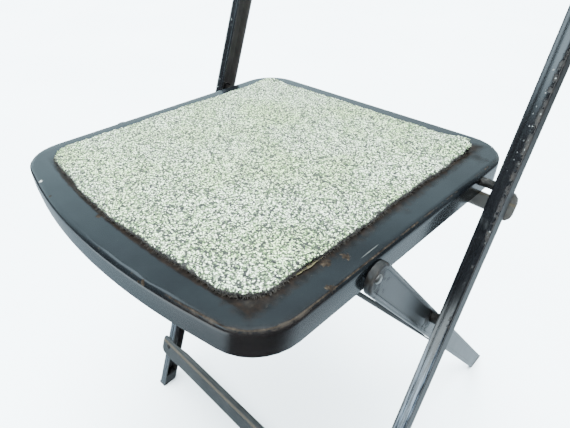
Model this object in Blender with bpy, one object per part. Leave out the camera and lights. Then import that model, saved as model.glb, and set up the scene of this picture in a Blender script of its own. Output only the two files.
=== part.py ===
"""Steel folding chair with channel rails, scissor rear legs and a pressed pan seat.

Metres, +Z up, the sitter faces -Y. The chair stands open, on its four glides, with the
origin on the floor under the middle of its bounding box.
"""
import math

import bmesh
import bpy
from mathutils import Matrix, Vector

# Sheet metal and the gaps between pieces
SHEET = 0.0012
FIT_GAP = 0.0003
SKIRT_TO_LEG = 0.0010
LEG_TO_RAIL = 0.0080

# Seat pan: a pressed tray turned upside down
SEAT_HEIGHT = 0.450
SEAT_RAKE = math.radians(0.5)
SEAT_WIDTH_FRONT = 0.313
SEAT_WIDTH_REAR = 0.321
SEAT_DEPTH = 0.318
SEAT_BOW = 0.0195
SEAT_CORNER = 0.038
SEAT_SHOULDER = 0.0045
SKIRT_HEIGHT = 0.0206
SKIRT_LIP = 0.005

# Textile mat glued on the pan
MAT_MARGIN_FRONT = 0.016
MAT_MARGIN_REAR = 0.023
MAT_SIDE_FRONT = 0.0218
MAT_SIDE_REAR = 0.0253
MAT_SIDE_SHIFT = -0.0025
MAT_BOW = 0.011
MAT_CORNER_FRONT = 0.026
MAT_CORNER_REAR = 0.014
MAT_THICKNESS = 0.0040
MAT_CROWN = 0.0008
MAT_EDGE_ROUND = 0.0012

# Rails: front leg and back upright in one channel
OVERALL_HEIGHT = 0.790
RAIL_LEAN = math.radians(21.0)
RAIL_SETBACK = 0.0752
RAIL_WEB = 0.020
RAIL_FLANGE = 0.013
RAIL_BEND = 0.0026
RAIL_GROOVE_EDGE = 0.0034
RAIL_GROOVE_WIDTH = 0.0014
RAIL_GROOVE_DEPTH = 0.0004

# Rear legs: pressed channels with a round upper end
LEG_ANGLE = math.radians(39.8)
LEG_WEB = 0.0254
LEG_TIP = 0.0055
LEG_FLANGE = 0.0054
LEG_BEND = 0.0022
LEG_RIM = 0.0014
LEG_RECESS = 0.0007

# Fold pivots and the slide
PIVOT_SETBACK = 0.0962
PIVOT_BELOW = 0.0024
PIVOT_LEG_OFFSET = -0.0006
PIVOT_RADIUS = 0.0022
PIVOT_HEAD_RADIUS = 0.0036
PIVOT_BUSH_RADIUS = 0.0037
CROSS_LEG_OFFSET = 0.0055
CROSS_RADIUS = 0.0030
CROSS_HEAD_RADIUS = 0.0042
CROSS_BUSH_RADIUS = 0.0055
PIN_HEAD_HEIGHT = 0.0016
AXLE_RADIUS = 0.0040
AXLE_UNDER_TOP = 0.0040
AXLE_END_PLAY = 0.0008
ROLLER_RADIUS = 0.0060
ROLLER_LENGTH = 0.0080

# Pressed cross bars with flat lugs
STRETCHER_WEB = 0.030
STRETCHER_FLANGE = 0.0056
STRETCHER_BEND = 0.0048
STRETCHER_LUG = 0.032
STRETCHER_LUG_LIFT = 0.0025
STRETCHER_OVERHANG = 0.0070
CROSSBAR_WEB = 0.014
CROSSBAR_FLANGE = 0.0052
CROSSBAR_BEND = 0.0030
CROSSBAR_LUG = 0.0265
CROSSBAR_LUG_LIFT = 0.0027
CROSSBAR_OVERHANG = 0.0050
LEG_LUG = 0.026
LEG_LUG_OVERHANG = 0.0020
BAR_TAPER = 0.028
LUG_CORNER = 0.008
LUG_LIP = 0.0002
LUG_INSET = 0.004
FRONT_BAR_HEIGHT = 0.0628
REAR_BAR_DROP = 0.060

# Back panel
PANEL_HEIGHT = 0.100
PANEL_TOP_MARGIN = 0.008
PANEL_BOW = 0.024
PANEL_BEAD = 0.0022
PANEL_CORNER = 0.010
PANEL_RIVET_PITCH = 0.060

# Rivets and glides
RIVET_RADIUS = 0.0020
RIVET_HEAD_RADIUS = 0.0036
RIVET_HEAD_HEIGHT = 0.0012
GLIDE_BASE = 0.0022
GLIDE_PLUG = 0.014
GLIDE_CORNER = 0.0008

# Smoothness of round stretches
CORNER_STEPS = 7
FRONT_STEPS = 14
BEND_STEPS = 3
ROUND_SIDES = 16
LUG_STEPS = 3
SMOOTH_ANGLE = math.radians(35.0)

# Share by which the front corner point stands out past the bowed front edge
FRONT_APEX = 1.5

LEFT, RIGHT = -1, 1
SIDES = (("left", LEFT), ("right", RIGHT))


def half_width(y):
    """Half the seat's width at a distance behind its front corners."""
    share = y / SEAT_DEPTH
    return (SEAT_WIDTH_FRONT + (SEAT_WIDTH_REAR - SEAT_WIDTH_FRONT) * share) / 2


def seat_top(y):
    """Height of the pan's upper face."""
    return SEAT_HEIGHT - y * math.tan(SEAT_RAKE)


# Places across the chair, from the seat outwards
PIVOT_SKIRT_X = half_width(PIVOT_SETBACK)
LEG_INNER_X = half_width(PIVOT_SETBACK + LEG_WEB) + SKIRT_TO_LEG
LEG_OUTER_X = LEG_INNER_X + LEG_FLANGE
LEG_WEB_INNER_X = LEG_OUTER_X - LEG_RECESS - SHEET
RAIL_INNER_X = LEG_OUTER_X + LEG_TO_RAIL
RAIL_OUTER_X = RAIL_INNER_X + RAIL_FLANGE
RAIL_WEB_INNER_X = RAIL_OUTER_X - SHEET

# Rail centre line, from the floor
LEAN_SIN, LEAN_COS = math.sin(RAIL_LEAN), math.cos(RAIL_LEAN)
RAIL_BASE_Y = RAIL_SETBACK + RAIL_WEB / 2 / LEAN_COS
RAIL_LENGTH = (OVERALL_HEIGHT - RAIL_WEB / 2 * LEAN_SIN) / LEAN_COS
FOOT_CUT = GLIDE_BASE + FIT_GAP


def rail_point(x, along, back):
    """Point on a rail: along its centre line from the floor, and behind that line."""
    y = RAIL_BASE_Y + along * LEAN_SIN + back * LEAN_COS
    return Vector((x, y, along * LEAN_COS - back * LEAN_SIN))


def rail_y(z):
    return RAIL_BASE_Y + z * math.tan(RAIL_LEAN)


# Seat pivot, and the leg's centre line that passes beside it
LEG_SIN, LEG_COS = math.sin(LEG_ANGLE), math.cos(LEG_ANGLE)
PIVOT_DROP = SEAT_SHOULDER + PIVOT_HEAD_RADIUS + PIVOT_BELOW
SEAT_PIVOT = Vector((0.0, PIVOT_SETBACK, seat_top(PIVOT_SETBACK) - PIVOT_DROP))
LEG_TOP_Y = SEAT_PIVOT.y - PIVOT_LEG_OFFSET * LEG_COS
LEG_TOP_Z = SEAT_PIVOT.z - PIVOT_LEG_OFFSET * LEG_SIN


def leg_point(x, along, back):
    """Point on a rear leg: down its centre line from the seat pivot, and behind that line."""
    y = LEG_TOP_Y + along * LEG_SIN + back * LEG_COS
    return Vector((x, y, LEG_TOP_Z - along * LEG_COS + back * LEG_SIN))


def leg_along(z, back):
    """Distance down the leg at which a line of the leg reaches a height."""
    return (LEG_TOP_Z + back * LEG_SIN - z) / LEG_COS


# Cross pivot: where the leg's offset line meets the rail's centre line
CROSS_START = leg_point(0.0, 0.0, CROSS_LEG_OFFSET)
CROSS_ALONG = (rail_y(CROSS_START.z) - CROSS_START.y) / (LEG_SIN + LEG_COS * math.tan(RAIL_LEAN))
CROSS_PIVOT = leg_point(0.0, CROSS_ALONG, CROSS_LEG_OFFSET)

# Slide axle: on the rail's centre line, just under the pan
AXLE_DROP = AXLE_UNDER_TOP + AXLE_RADIUS
AXLE_Z = (SEAT_HEIGHT - AXLE_DROP - RAIL_BASE_Y * math.tan(SEAT_RAKE)) / (
    1 + math.tan(RAIL_LEAN) * math.tan(SEAT_RAKE))
AXLE = Vector((0.0, rail_y(AXLE_Z), AXLE_Z))

# Middle of the chair's box, fore and aft
REAR_REACH = leg_point(0.0, leg_along(0.0, LEG_WEB / 2), LEG_WEB / 2).y
BOX_CENTRE_Y = (REAR_REACH - SEAT_BOW) / 2


def clear_scene():
    for old in list(bpy.data.objects):
        bpy.data.objects.remove(old, do_unlink=True)


def make_finish(name, colour, roughness, metallic):
    finish = bpy.data.materials.new(name)
    finish.use_nodes = True
    shader = finish.node_tree.nodes["Principled BSDF"]
    shader.inputs["Base Color"].default_value = (*colour, 1.0)
    shader.inputs["Roughness"].default_value = roughness
    shader.inputs["Metallic"].default_value = metallic
    return finish


def add_pivot(name, place, parent, parent_place):
    """Empty on a joint's axis, which carries the pieces of one moving body."""
    pivot = bpy.data.objects.new(name, None)
    bpy.context.collection.objects.link(pivot)
    pivot.location = place - parent_place
    pivot.parent = parent
    return pivot


class Body:
    """A rigid group of pieces, and the empty that carries them."""

    def __init__(self, name, place, parent=None):
        self.place = place
        carrier = parent.pivot if parent else None
        origin = parent.place if parent else Vector((0.0, BOX_CENTRE_Y, 0.0))
        self.pivot = add_pivot(name, place, carrier, origin)


def add_piece(name, shape, finish, body):
    """Object from a bmesh in the chair's own places, hung on its body's pivot."""
    bmesh.ops.recalc_face_normals(shape, faces=shape.faces)
    mesh = bpy.data.meshes.new(name)
    shape.to_mesh(mesh)
    shape.free()
    mesh.shade_smooth()
    mesh.set_sharp_from_angle(angle=SMOOTH_ANGLE)
    mesh.transform(Matrix.Translation(-body.place))
    if finish:
        mesh.materials.append(finish)
    piece = bpy.data.objects.new(name, mesh)
    bpy.context.collection.objects.link(piece)
    piece.parent = body.pivot
    return piece


def join_rings(rings, closed=False):
    """Surface through rings of equal length: capped at both ends, or closed on itself."""
    shape = bmesh.new()
    loops = [[shape.verts.new(point) for point in ring] for ring in rings]
    pairs = list(zip(loops, loops[1:]))
    if closed:
        pairs.append((loops[-1], loops[0]))
    count = len(loops[0])
    for near, far in pairs:
        for i in range(count):
            j = (i + 1) % count
            shape.faces.new((near[i], near[j], far[j], far[i]))
    if not closed:
        shape.faces.new(loops[0])
        shape.faces.new(loops[-1])
    return shape


def rounded_polygon(corners, radii, steps, inset=0.0):
    """Convex outline with round corners, all of it drawn in by an inset."""
    outline = []
    count = len(corners)
    for i in range(count):
        before = Vector(corners[i - 1])
        corner = Vector(corners[i])
        after = Vector(corners[(i + 1) % count])
        come = (corner - before).normalized()
        leave = (after - corner).normalized()
        come_in = Vector((-come.y, come.x))
        leave_in = Vector((-leave.y, leave.x))
        corner += (come_in + leave_in) * inset / (1 + come_in.dot(leave_in))
        turn = math.acos(max(-1.0, min(1.0, come.dot(leave))))
        radius = max(radii[i] - inset, FIT_GAP)
        centre = corner - come * radius * math.tan(turn / 2) + come_in * radius
        for k in range(steps[i] + 1):
            angle = turn * k / steps[i]
            outline.append(centre + (-come_in * math.cos(angle) + come * math.sin(angle)) * radius)
    return outline


def quarter_bend(radius, steps):
    """Inset and depth of points round a bend, from its wall to its flat face."""
    points = []
    for k in range(steps + 1):
        angle = math.pi / 2 * k / steps
        points.append((radius - radius * math.cos(angle), radius - radius * math.sin(angle)))
    return points


def turned(name, stations, start, axis, finish, body, closed=False):
    """Round piece: stations give the distance along the axis and the radius there."""
    axis = axis.normalized()
    side = axis.orthogonal().normalized()
    other = axis.cross(side)
    rings = []
    for distance, radius in stations:
        ring = []
        for k in range(ROUND_SIDES):
            angle = 2 * math.pi * k / ROUND_SIDES
            spoke = side * math.cos(angle) + other * math.sin(angle)
            ring.append(start + axis * distance + spoke * radius)
        rings.append(ring)
    return add_piece(name, join_rings(rings, closed), finish, body)


def domed(seat, height, radius, outward):
    """Stations of a low round head that stands on a seat, from its crown to the seat."""
    crown = ((1.0, 0.35), (0.72, 0.75), (0.25, 0.97), (0.0, 1.0))
    return [(seat + outward * height * rise, radius * share) for rise, share in crown]


def rivet(name, start, axis, grip, radius, head_radius, head_height, finish, body):
    """Rivet with a head at both ends; grip is the thickness that it holds."""
    first = domed(-FIT_GAP, head_height, head_radius, -1)
    last = domed(grip + FIT_GAP, head_height, head_radius, 1)
    shank = [(-FIT_GAP, radius), (grip + FIT_GAP, radius)]
    return turned(name, first + shank + last[::-1], start, axis, finish, body)


def drill(name, pieces, start, axis, length, radius, body):
    """Round hole through pieces, with the running gap round its pin."""
    reach = SHEET
    stations = [(-reach, radius + FIT_GAP), (length + reach, radius + FIT_GAP)]
    cutter = turned(name, stations, start, axis, None, body)
    cut_away(pieces, cutter)


def cut_away(pieces, cutter):
    cutter.hide_render = True
    cutter.display_type = "WIRE"
    for piece in pieces:
        cut = piece.modifiers.new(cutter.name, "BOOLEAN")
        cut.operation = "DIFFERENCE"
        cut.object = cutter


def bush(name, start, axis, length, pin_radius, radius, finish, body):
    """Plain tube round a pin."""
    bore = pin_radius + FIT_GAP
    wall = [(0.0, bore), (0.0, radius), (length, radius), (length, bore)]
    return turned(name, wall, start, axis, finish, body, closed=True)


def shell_rings(outline, depth, bend, place, lip=0.0, rim=None, recess=0.0):
    """Rings of a thin tray: from the middle of its hollow, round its edge, to its flat face.

    outline(inset) gives the tray's edge and place(point, depth) puts it in the chair.
    """
    face = [(bend, 0.0)]
    if rim is not None:
        face = [(bend + rim, 0.0), (bend + rim + recess, recess)]
    outer = [(0.0, depth)] + quarter_bend(bend, BEND_STEPS)
    hollow = [(SHEET + inset, SHEET + drop) for inset, drop in quarter_bend(bend - SHEET, BEND_STEPS)]
    floor = [(inset, drop + SHEET) for inset, drop in face]
    if rim is None:
        floor = []
        face = []
    edge = [(SHEET, depth)]
    if lip:
        edge = [(SHEET, depth - SHEET), (lip, depth - SHEET), (lip, depth)]
    path = floor[::-1] + hollow[::-1] + edge + outer + face
    return [[place(point, drop) for point in outline(inset)] for inset, drop in path]


def seat_outline(inset):
    front = SEAT_WIDTH_FRONT / 2
    rear = SEAT_WIDTH_REAR / 2
    apex = SEAT_BOW * FRONT_APEX
    corners = [(-front, 0.0), (0.0, -apex), (front, 0.0), (rear, SEAT_DEPTH), (-rear, SEAT_DEPTH)]
    radii = [SEAT_CORNER, bow_radius(SEAT_BOW, front), SEAT_CORNER, SEAT_CORNER, SEAT_CORNER]
    steps = [CORNER_STEPS, FRONT_STEPS, CORNER_STEPS, CORNER_STEPS, CORNER_STEPS]
    return rounded_polygon(corners, radii, steps, inset)


def bow_radius(bow, half):
    """Radius that rounds the front point off down to the bow."""
    slope = math.atan(bow * FRONT_APEX / half)
    return bow * (FRONT_APEX - 1) / (1 / math.cos(slope) - 1)


def mat_outline(inset):
    start = MAT_MARGIN_FRONT
    end = SEAT_DEPTH - MAT_MARGIN_REAR
    front = half_width(start) - MAT_SIDE_FRONT
    rear = half_width(end) - MAT_SIDE_REAR
    apex = start - MAT_BOW * FRONT_APEX
    corners = [(-front, start), (0.0, apex), (front, start), (rear, end), (-rear, end)]
    round_front = bow_radius(MAT_BOW, front)
    radii = [MAT_CORNER_FRONT, round_front, MAT_CORNER_FRONT, MAT_CORNER_REAR, MAT_CORNER_REAR]
    steps = [CORNER_STEPS, FRONT_STEPS, CORNER_STEPS, CORNER_STEPS, CORNER_STEPS]
    return rounded_polygon(corners, radii, steps, inset)


def on_seat(point, drop):
    return Vector((point.x, point.y, seat_top(point.y) - drop))


def make_seat(body, enamel, textile):
    pan_rings = shell_rings(seat_outline, SKIRT_HEIGHT, SEAT_SHOULDER, on_seat, lip=SKIRT_LIP)
    pan = add_piece("seat_pan", join_rings(pan_rings), enamel, body)
    base = FIT_GAP
    top = base + MAT_THICKNESS
    crown = [(MAT_EDGE_ROUND, base), (0.0, base + MAT_EDGE_ROUND), (0.0, top - MAT_EDGE_ROUND)]
    crown += [(MAT_EDGE_ROUND, top), (MAT_CORNER_REAR, top + MAT_CROWN * 0.6)]
    crown += [(3 * MAT_CORNER_REAR, top + MAT_CROWN)]
    rings = []
    for inset, rise in crown:
        outline = mat_outline(inset)
        rings.append([on_seat(point, -rise) + Vector((MAT_SIDE_SHIFT, 0.0, 0.0)) for point in outline])
    add_piece("seat_mat", join_rings(rings), textile, body)
    return pan


def bend_arc(centre, radius, first, steps):
    """Quarter turn about a centre, counter-clockwise from a first angle."""
    arc = []
    for k in range(steps + 1):
        angle = first + math.pi / 2 * k / steps
        arc.append((centre[0] + radius * math.cos(angle), centre[1] + radius * math.sin(angle)))
    return arc


def rail_profile():
    """Channel section as depth from the web's outer face and distance behind the centre line."""
    half = RAIL_WEB / 2
    inner = RAIL_BEND - SHEET
    near = RAIL_FLANGE - RAIL_GROOVE_EDGE
    far = near - RAIL_GROOVE_WIDTH
    slope = RAIL_GROOVE_DEPTH
    groove = [(near, 0.0), (near - slope, slope), (far + slope, slope), (far, 0.0)]
    front = [(RAIL_FLANGE, -half)] + [(depth, drop - half) for depth, drop in groove]
    outer = [(RAIL_BEND - x, y) for x, y in bend_turn(RAIL_BEND, half - RAIL_BEND)]
    hollow = [(RAIL_BEND - x, y) for x, y in bend_turn(inner, half - RAIL_BEND)]
    rear = [(depth, -back) for depth, back in front[::-1]]
    ends = [(RAIL_FLANGE, half - SHEET)] + hollow[::-1] + [(RAIL_FLANGE, SHEET - half)]
    return front + outer + rear + ends


def bend_turn(radius, reach):
    """Two quarter bends of a channel, as distance towards the web and along it."""
    low = bend_arc((0.0, -reach), radius, -math.pi / 2, BEND_STEPS)
    high = bend_arc((0.0, reach), radius, 0.0, BEND_STEPS)
    return low + high


def make_rail(name, side, body, enamel):
    profile = rail_profile()
    foot = []
    top = []
    for depth, back in profile:
        x = side * (RAIL_OUTER_X - depth)
        foot.append(rail_point(x, (FOOT_CUT + back * LEAN_SIN) / LEAN_COS, back))
        top.append(rail_point(x, RAIL_LENGTH, back))
    return add_piece(name, join_rings([foot, top]), enamel, body)


def leg_outline(inset):
    half = LEG_WEB / 2
    end = leg_along(0.0, half) + LEG_WEB
    corners = [(-LEG_TIP, -half), (end, -half), (end, half), (-LEG_TIP, half)]
    return rounded_polygon(corners, [half, FIT_GAP, FIT_GAP, half], [CORNER_STEPS, 1, 1, CORNER_STEPS], inset)


def make_leg(name, side, body, enamel):
    def place(point, depth):
        return leg_point(side * (LEG_OUTER_X - depth), point.x, point.y)

    rings = shell_rings(leg_outline, LEG_FLANGE, LEG_BEND, place, rim=LEG_RIM, recess=LEG_RECESS)
    leg = add_piece(name, join_rings(rings), enamel, body)
    wide = LEG_WEB
    deep = 3 * LEG_WEB
    floor = [(-wide, -deep), (wide, -deep), (wide, deep), (-wide, deep)]
    centre = leg_point(side * LEG_OUTER_X, leg_along(0.0, 0.0), 0.0)
    rings = [[centre + Vector((x, y, z)) for x, y in floor] for z in (-2 * LEG_WEB, FOOT_CUT)]
    cut_away([leg], add_piece(f"{name}_floor_cut", join_rings(rings), None, body))
    return leg


class Bar:
    """Sizes of a pressed cross bar and of the flat lugs at its ends."""

    def __init__(self, web, flange, bend, lug, lift=0.0):
        self.web = web
        self.flange = flange
        self.bend = bend
        self.lug = lug
        self.lift = lift

    def stations(self, end, shoulder):
        """Half a bar: place across the chair, height, depth of the flanges and lift there."""
        flat = SHEET + LUG_LIP
        stations = [(0.0, self.web, self.flange, 0.0)]
        for share in (0.0, 0.3, 0.6, 1.0):
            smooth = share * share * (3 - 2 * share)
            depth = self.flange + (flat - self.flange) * smooth
            stations.append((shoulder - BAR_TAPER * (1 - share), self.web, depth, 0.0))
        stations.append((shoulder + LUG_INSET / 2, (self.web + self.lug) / 2, flat, self.lift / 2))
        for k in range(LUG_STEPS + 1):
            angle = math.pi / 2 * k / LUG_STEPS
            x = end - LUG_CORNER + LUG_CORNER * math.sin(angle)
            stations.append((x, self.lug - 2 * LUG_CORNER * (1 - math.cos(angle)), flat, self.lift))
        return stations

    def section(self, height, flange):
        """Channel section: distance along the rail and depth behind the front face."""
        bend = min(self.bend, 0.9 * flange)
        inner = bend - SHEET
        half = height / 2
        wall = half - SHEET
        low = bend_arc((bend - half, bend), bend, math.pi, BEND_STEPS)
        high = bend_arc((half - bend, bend), bend, -math.pi / 2, BEND_STEPS)
        low_in = bend_arc((inner - wall, bend), inner, math.pi, BEND_STEPS)
        high_in = bend_arc((wall - inner, bend), inner, -math.pi / 2, BEND_STEPS)
        outside = [(-half, flange)] + low + high + [(half, flange)]
        inside = [(-wall, flange)] + low_in + high_in + [(wall, flange)]
        return outside + inside[::-1]

    def make(self, name, end, shoulder, place, body, enamel):
        """The bar as a piece; place(x, along, depth) puts a point of it in the chair."""
        half = self.stations(end, shoulder)
        stations = [(-x, *rest) for x, *rest in half[:0:-1]] + half
        rings = []
        for x, height, flange, lift in stations:
            section = self.section(height, flange)
            rings.append([place(x, lift + along, depth) for along, depth in section])
        return add_piece(name, join_rings(rings), enamel, body)


FRONT_STRETCHER = Bar(STRETCHER_WEB, STRETCHER_FLANGE, STRETCHER_BEND, STRETCHER_LUG, STRETCHER_LUG_LIFT)
REAR_STRETCHER = Bar(STRETCHER_WEB, STRETCHER_FLANGE, STRETCHER_BEND, LEG_LUG)
REAR_CROSSBAR = Bar(CROSSBAR_WEB, CROSSBAR_FLANGE, CROSSBAR_BEND, CROSSBAR_LUG, CROSSBAR_LUG_LIFT)


def panel_section(height, bead):
    """Back panel's section: a flat strip whose two edges roll backwards."""
    half = height / 2
    top = []
    for k in range(7):
        angle = -math.pi / 2 + math.pi * 1.25 * k / 6
        top.append((half - bead + bead * math.cos(angle), bead + bead * math.sin(angle)))
    inner = half - 2.4 * bead
    top.append((inner, SHEET))
    bottom = [(-along, depth) for along, depth in top[::-1]]
    return top + bottom


def make_panel(body, enamel):
    centre = RAIL_LENGTH - PANEL_TOP_MARGIN - PANEL_HEIGHT / 2
    shoulder = RAIL_INNER_X - LUG_INSET
    front = -RAIL_WEB / 2 - FIT_GAP - SHEET - LUG_LIP
    flat_bead = (SHEET + LUG_LIP) / 2
    stations = []
    for share in (0.0, 0.15, 0.3, 0.45, 0.6, 0.72, 0.82, 0.91, 1.0):
        bow = PANEL_BOW * (1 - share * share) ** 2
        bead = flat_bead + (PANEL_BEAD - flat_bead) * min(1.0, 5 * (1 - share))
        stations.append((shoulder * share, PANEL_HEIGHT, bow, bead))
    for k in range(LUG_STEPS + 1):
        angle = math.pi / 2 * k / LUG_STEPS
        x = RAIL_OUTER_X - PANEL_CORNER + PANEL_CORNER * math.sin(angle)
        stations.append((x, PANEL_HEIGHT - 2 * PANEL_CORNER * (1 - math.cos(angle)), 0.0, flat_bead))
    stations = [(-x, *rest) for x, *rest in stations[:0:-1]] + stations
    rings = []
    for x, height, bow, bead in stations:
        section = panel_section(height, bead)
        rings.append([rail_point(x, centre + along, front + bow + depth) for along, depth in section])
    return add_piece("back_panel", join_rings(rings), enamel, body), centre


def make_glide(name, outer_x, web_inner_x, width, flange, slope, slice_point, side, body, rubber):
    """Foot plug: a base under the channel's end and a tongue inside it."""
    def section(low_depth, high_depth, half):
        corners = [(low_depth, -half), (high_depth, -half), (high_depth, half), (low_depth, half)]
        return rounded_polygon(corners, [GLIDE_CORNER] * 4, [2] * 4)

    half = width / 2 / slope
    base = section(0.0, flange, half)
    start = outer_x - web_inner_x + FIT_GAP
    tongue = section(start, flange - FIT_GAP, half - (SHEET + FIT_GAP) / slope)
    levels = ((base, 0.0), (base, GLIDE_BASE), (tongue, GLIDE_BASE), (tongue, GLIDE_BASE + GLIDE_PLUG))
    rings = []
    for outline, z in levels:
        rings.append([slice_point(side * (outer_x - point.x), point.y, z) for point in outline])
    return add_piece(name, join_rings(rings), rubber, body)


def rail_slice(x, back, z):
    """Point of a level slice through a rail's foot."""
    return Vector((x, rail_y(z) + back, z))


def leg_slice(x, back, z):
    """Point of a level slice through a rear leg's foot."""
    return Vector((x, leg_point(0.0, leg_along(z, 0.0), 0.0).y + back, z))


def make_frame(body, enamel, steel, rubber):
    rails = {}
    for word, side in SIDES:
        rails[side] = make_rail(f"rail_{word}", side, body, enamel)
        make_glide(f"front_glide_{word}", RAIL_OUTER_X, RAIL_WEB_INNER_X, RAIL_WEB, RAIL_FLANGE, LEAN_COS,
                   rail_slice, side, body, rubber)
    shoulder = RAIL_INNER_X - LUG_INSET
    front_face = -RAIL_WEB / 2 - FIT_GAP - SHEET - LUG_LIP
    rear_face = RAIL_WEB / 2 + FIT_GAP
    front_along = FRONT_BAR_HEIGHT / LEAN_COS
    crossbar_along = crossbar_place(rear_face)

    def on_front(x, along, depth):
        return rail_point(x, front_along + along, front_face + depth)

    def on_rear(x, along, depth):
        return rail_point(x, crossbar_along + along, rear_face + depth)

    stretcher_end = RAIL_OUTER_X + STRETCHER_OVERHANG
    crossbar_end = RAIL_OUTER_X + CROSSBAR_OVERHANG
    stretcher = FRONT_STRETCHER.make("front_stretcher", stretcher_end, shoulder, on_front, body, enamel)
    crossbar = REAR_CROSSBAR.make("rear_crossbar", crossbar_end, shoulder, on_rear, body, enamel)
    panel, panel_along = make_panel(body, enamel)
    rivet_x = (RAIL_INNER_X + RAIL_OUTER_X) / 2
    grip = 2 * SHEET + FIT_GAP
    front_grip = grip + LUG_LIP
    rail_rear = rear_face - FIT_GAP - SHEET
    backwards = rail_point(0.0, 0.0, 1.0) - rail_point(0.0, 0.0, 0.0)
    for word, side in SIDES:
        places = [("stretcher_rivet", stretcher, front_along + FRONT_STRETCHER.lift, front_face, front_grip),
                  ("crossbar_rivet", crossbar, crossbar_along + REAR_CROSSBAR.lift, rail_rear, grip),
                  ("panel_rivet_low", panel, panel_along - PANEL_RIVET_PITCH / 2, front_face, front_grip),
                  ("panel_rivet_high", panel, panel_along + PANEL_RIVET_PITCH / 2, front_face, front_grip)]
        for kind, bar, along, face, thickness in places:
            start = rail_point(side * rivet_x, along, face)
            name = f"{kind}_{word}"
            rivet(name, start, backwards, thickness, RIVET_RADIUS, RIVET_HEAD_RADIUS, RIVET_HEAD_HEIGHT,
                  steel, body)
            drill(f"{name}_hole", [bar, rails[side]], start, backwards, thickness, RIVET_RADIUS, body)


def crossbar_place(face):
    """Where the rear crossbar sits along the rails, so that the seat's skirt rests on it."""
    reach = REAR_CROSSBAR.web / 2
    rest_y = rail_point(0.0, AXLE.z / LEAN_COS, face).y
    rest_z = seat_top(rest_y) - SKIRT_HEIGHT - FIT_GAP
    return (rest_z + face * LEAN_SIN) / LEAN_COS - reach


def make_cross_pins(frame, legs, steel):
    """Pins on the rails' webs, each with its spacer, on which the rear legs swing."""
    for word, side in SIDES:
        inwards = Vector((-side, 0.0, 0.0))
        root = CROSS_PIVOT + Vector((side * (RAIL_WEB_INNER_X - FIT_GAP), 0.0, 0.0))
        length = RAIL_WEB_INNER_X - LEG_WEB_INNER_X
        shank = [(0.0, CROSS_RADIUS), (length, CROSS_RADIUS)]
        head = domed(length, PIN_HEAD_HEIGHT, CROSS_HEAD_RADIUS, 1)
        turned(f"cross_pin_{word}", shank + head[::-1], root, inwards, steel, frame)
        spacer = RAIL_WEB_INNER_X - LEG_OUTER_X - 2 * FIT_GAP
        bush(f"cross_spacer_{word}", root, inwards, spacer, CROSS_RADIUS, CROSS_BUSH_RADIUS, steel, frame)
        drill(f"cross_hole_{word}", [legs[side]], root, inwards, length, CROSS_RADIUS, frame)


def make_rear_legs(body, enamel, rubber):
    legs = {}
    for word, side in SIDES:
        legs[side] = make_leg(f"rear_leg_{word}", side, body, enamel)
        make_glide(f"rear_glide_{word}", LEG_OUTER_X, LEG_WEB_INNER_X, LEG_WEB, LEG_FLANGE, LEG_COS,
                   leg_slice, side, body, rubber)
    bar_along = CROSS_ALONG + REAR_BAR_DROP
    face = -LEG_WEB / 2 - FIT_GAP - SHEET - LUG_LIP

    def on_legs(x, along, depth):
        return leg_point(x, bar_along + along, face + depth)

    end = LEG_OUTER_X + LEG_LUG_OVERHANG
    REAR_STRETCHER.make("rear_stretcher", end, LEG_INNER_X - LUG_INSET, on_legs, body, enamel)
    return legs


def make_seat_pivots(seat, pan, legs, steel):
    """Rivets and bushes at the skirt, on which the seat turns in the rear legs."""
    for word, side in SIDES:
        outwards = Vector((side, 0.0, 0.0))
        skirt = SEAT_PIVOT + outwards * (PIVOT_SKIRT_X - SHEET)
        grip = LEG_OUTER_X - PIVOT_SKIRT_X + SHEET
        name = f"seat_pivot_{word}"
        rivet(name, skirt, outwards, grip, PIVOT_RADIUS, PIVOT_HEAD_RADIUS, PIN_HEAD_HEIGHT, steel, seat)
        drill(f"{name}_hole", [pan, legs[side]], skirt, outwards, grip, PIVOT_RADIUS, seat)
        start = SEAT_PIVOT + outwards * (PIVOT_SKIRT_X + FIT_GAP)
        length = LEG_WEB_INNER_X - PIVOT_SKIRT_X - 2 * FIT_GAP
        bush(f"seat_pivot_bush_{word}", start, outwards, length, PIVOT_RADIUS, PIVOT_BUSH_RADIUS, steel, seat)


def make_slide(seat, pan, steel):
    """Axle under the pan's rear, with a roller in each rail."""
    reach = RAIL_WEB_INNER_X - AXLE_END_PLAY
    across = Vector((1.0, 0.0, 0.0))
    turned("slide_axle", [(-reach, AXLE_RADIUS), (reach, AXLE_RADIUS)], AXLE, across, steel, seat)
    drill("slide_axle_hole", [pan], AXLE - across * reach, across, 2 * reach, AXLE_RADIUS, seat)
    for word, side in SIDES:
        start = AXLE + across * side * (reach - FIT_GAP)
        inwards = -across * side
        bush(f"slide_roller_{word}", start, inwards, ROLLER_LENGTH, AXLE_RADIUS, ROLLER_RADIUS, steel, seat)


def main():
    clear_scene()
    enamel = make_finish("black enamel", (0.022, 0.025, 0.029), 0.32, 0.0)
    steel = make_finish("dark steel", (0.16, 0.15, 0.14), 0.42, 1.0)
    textile = make_finish("speckled textile", (0.56, 0.59, 0.53), 0.95, 0.0)
    rubber = make_finish("black rubber", (0.03, 0.03, 0.03), 0.80, 0.0)
    frame = Body("frame", Vector((0.0, 0.0, 0.0)))
    rear_legs = Body("leg_fold", CROSS_PIVOT, frame)
    seat = Body("seat_tilt", SEAT_PIVOT, rear_legs)
    make_frame(frame, enamel, steel, rubber)
    legs = make_rear_legs(rear_legs, enamel, rubber)
    make_cross_pins(frame, legs, steel)
    pan = make_seat(seat, enamel, textile)
    make_seat_pivots(seat, pan, legs, steel)
    make_slide(seat, pan, steel)


main()
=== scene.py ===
"""Looks of the steel folding chair: worn black enamel, a glued speckled mat, studio and camera."""
import math
import random

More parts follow.
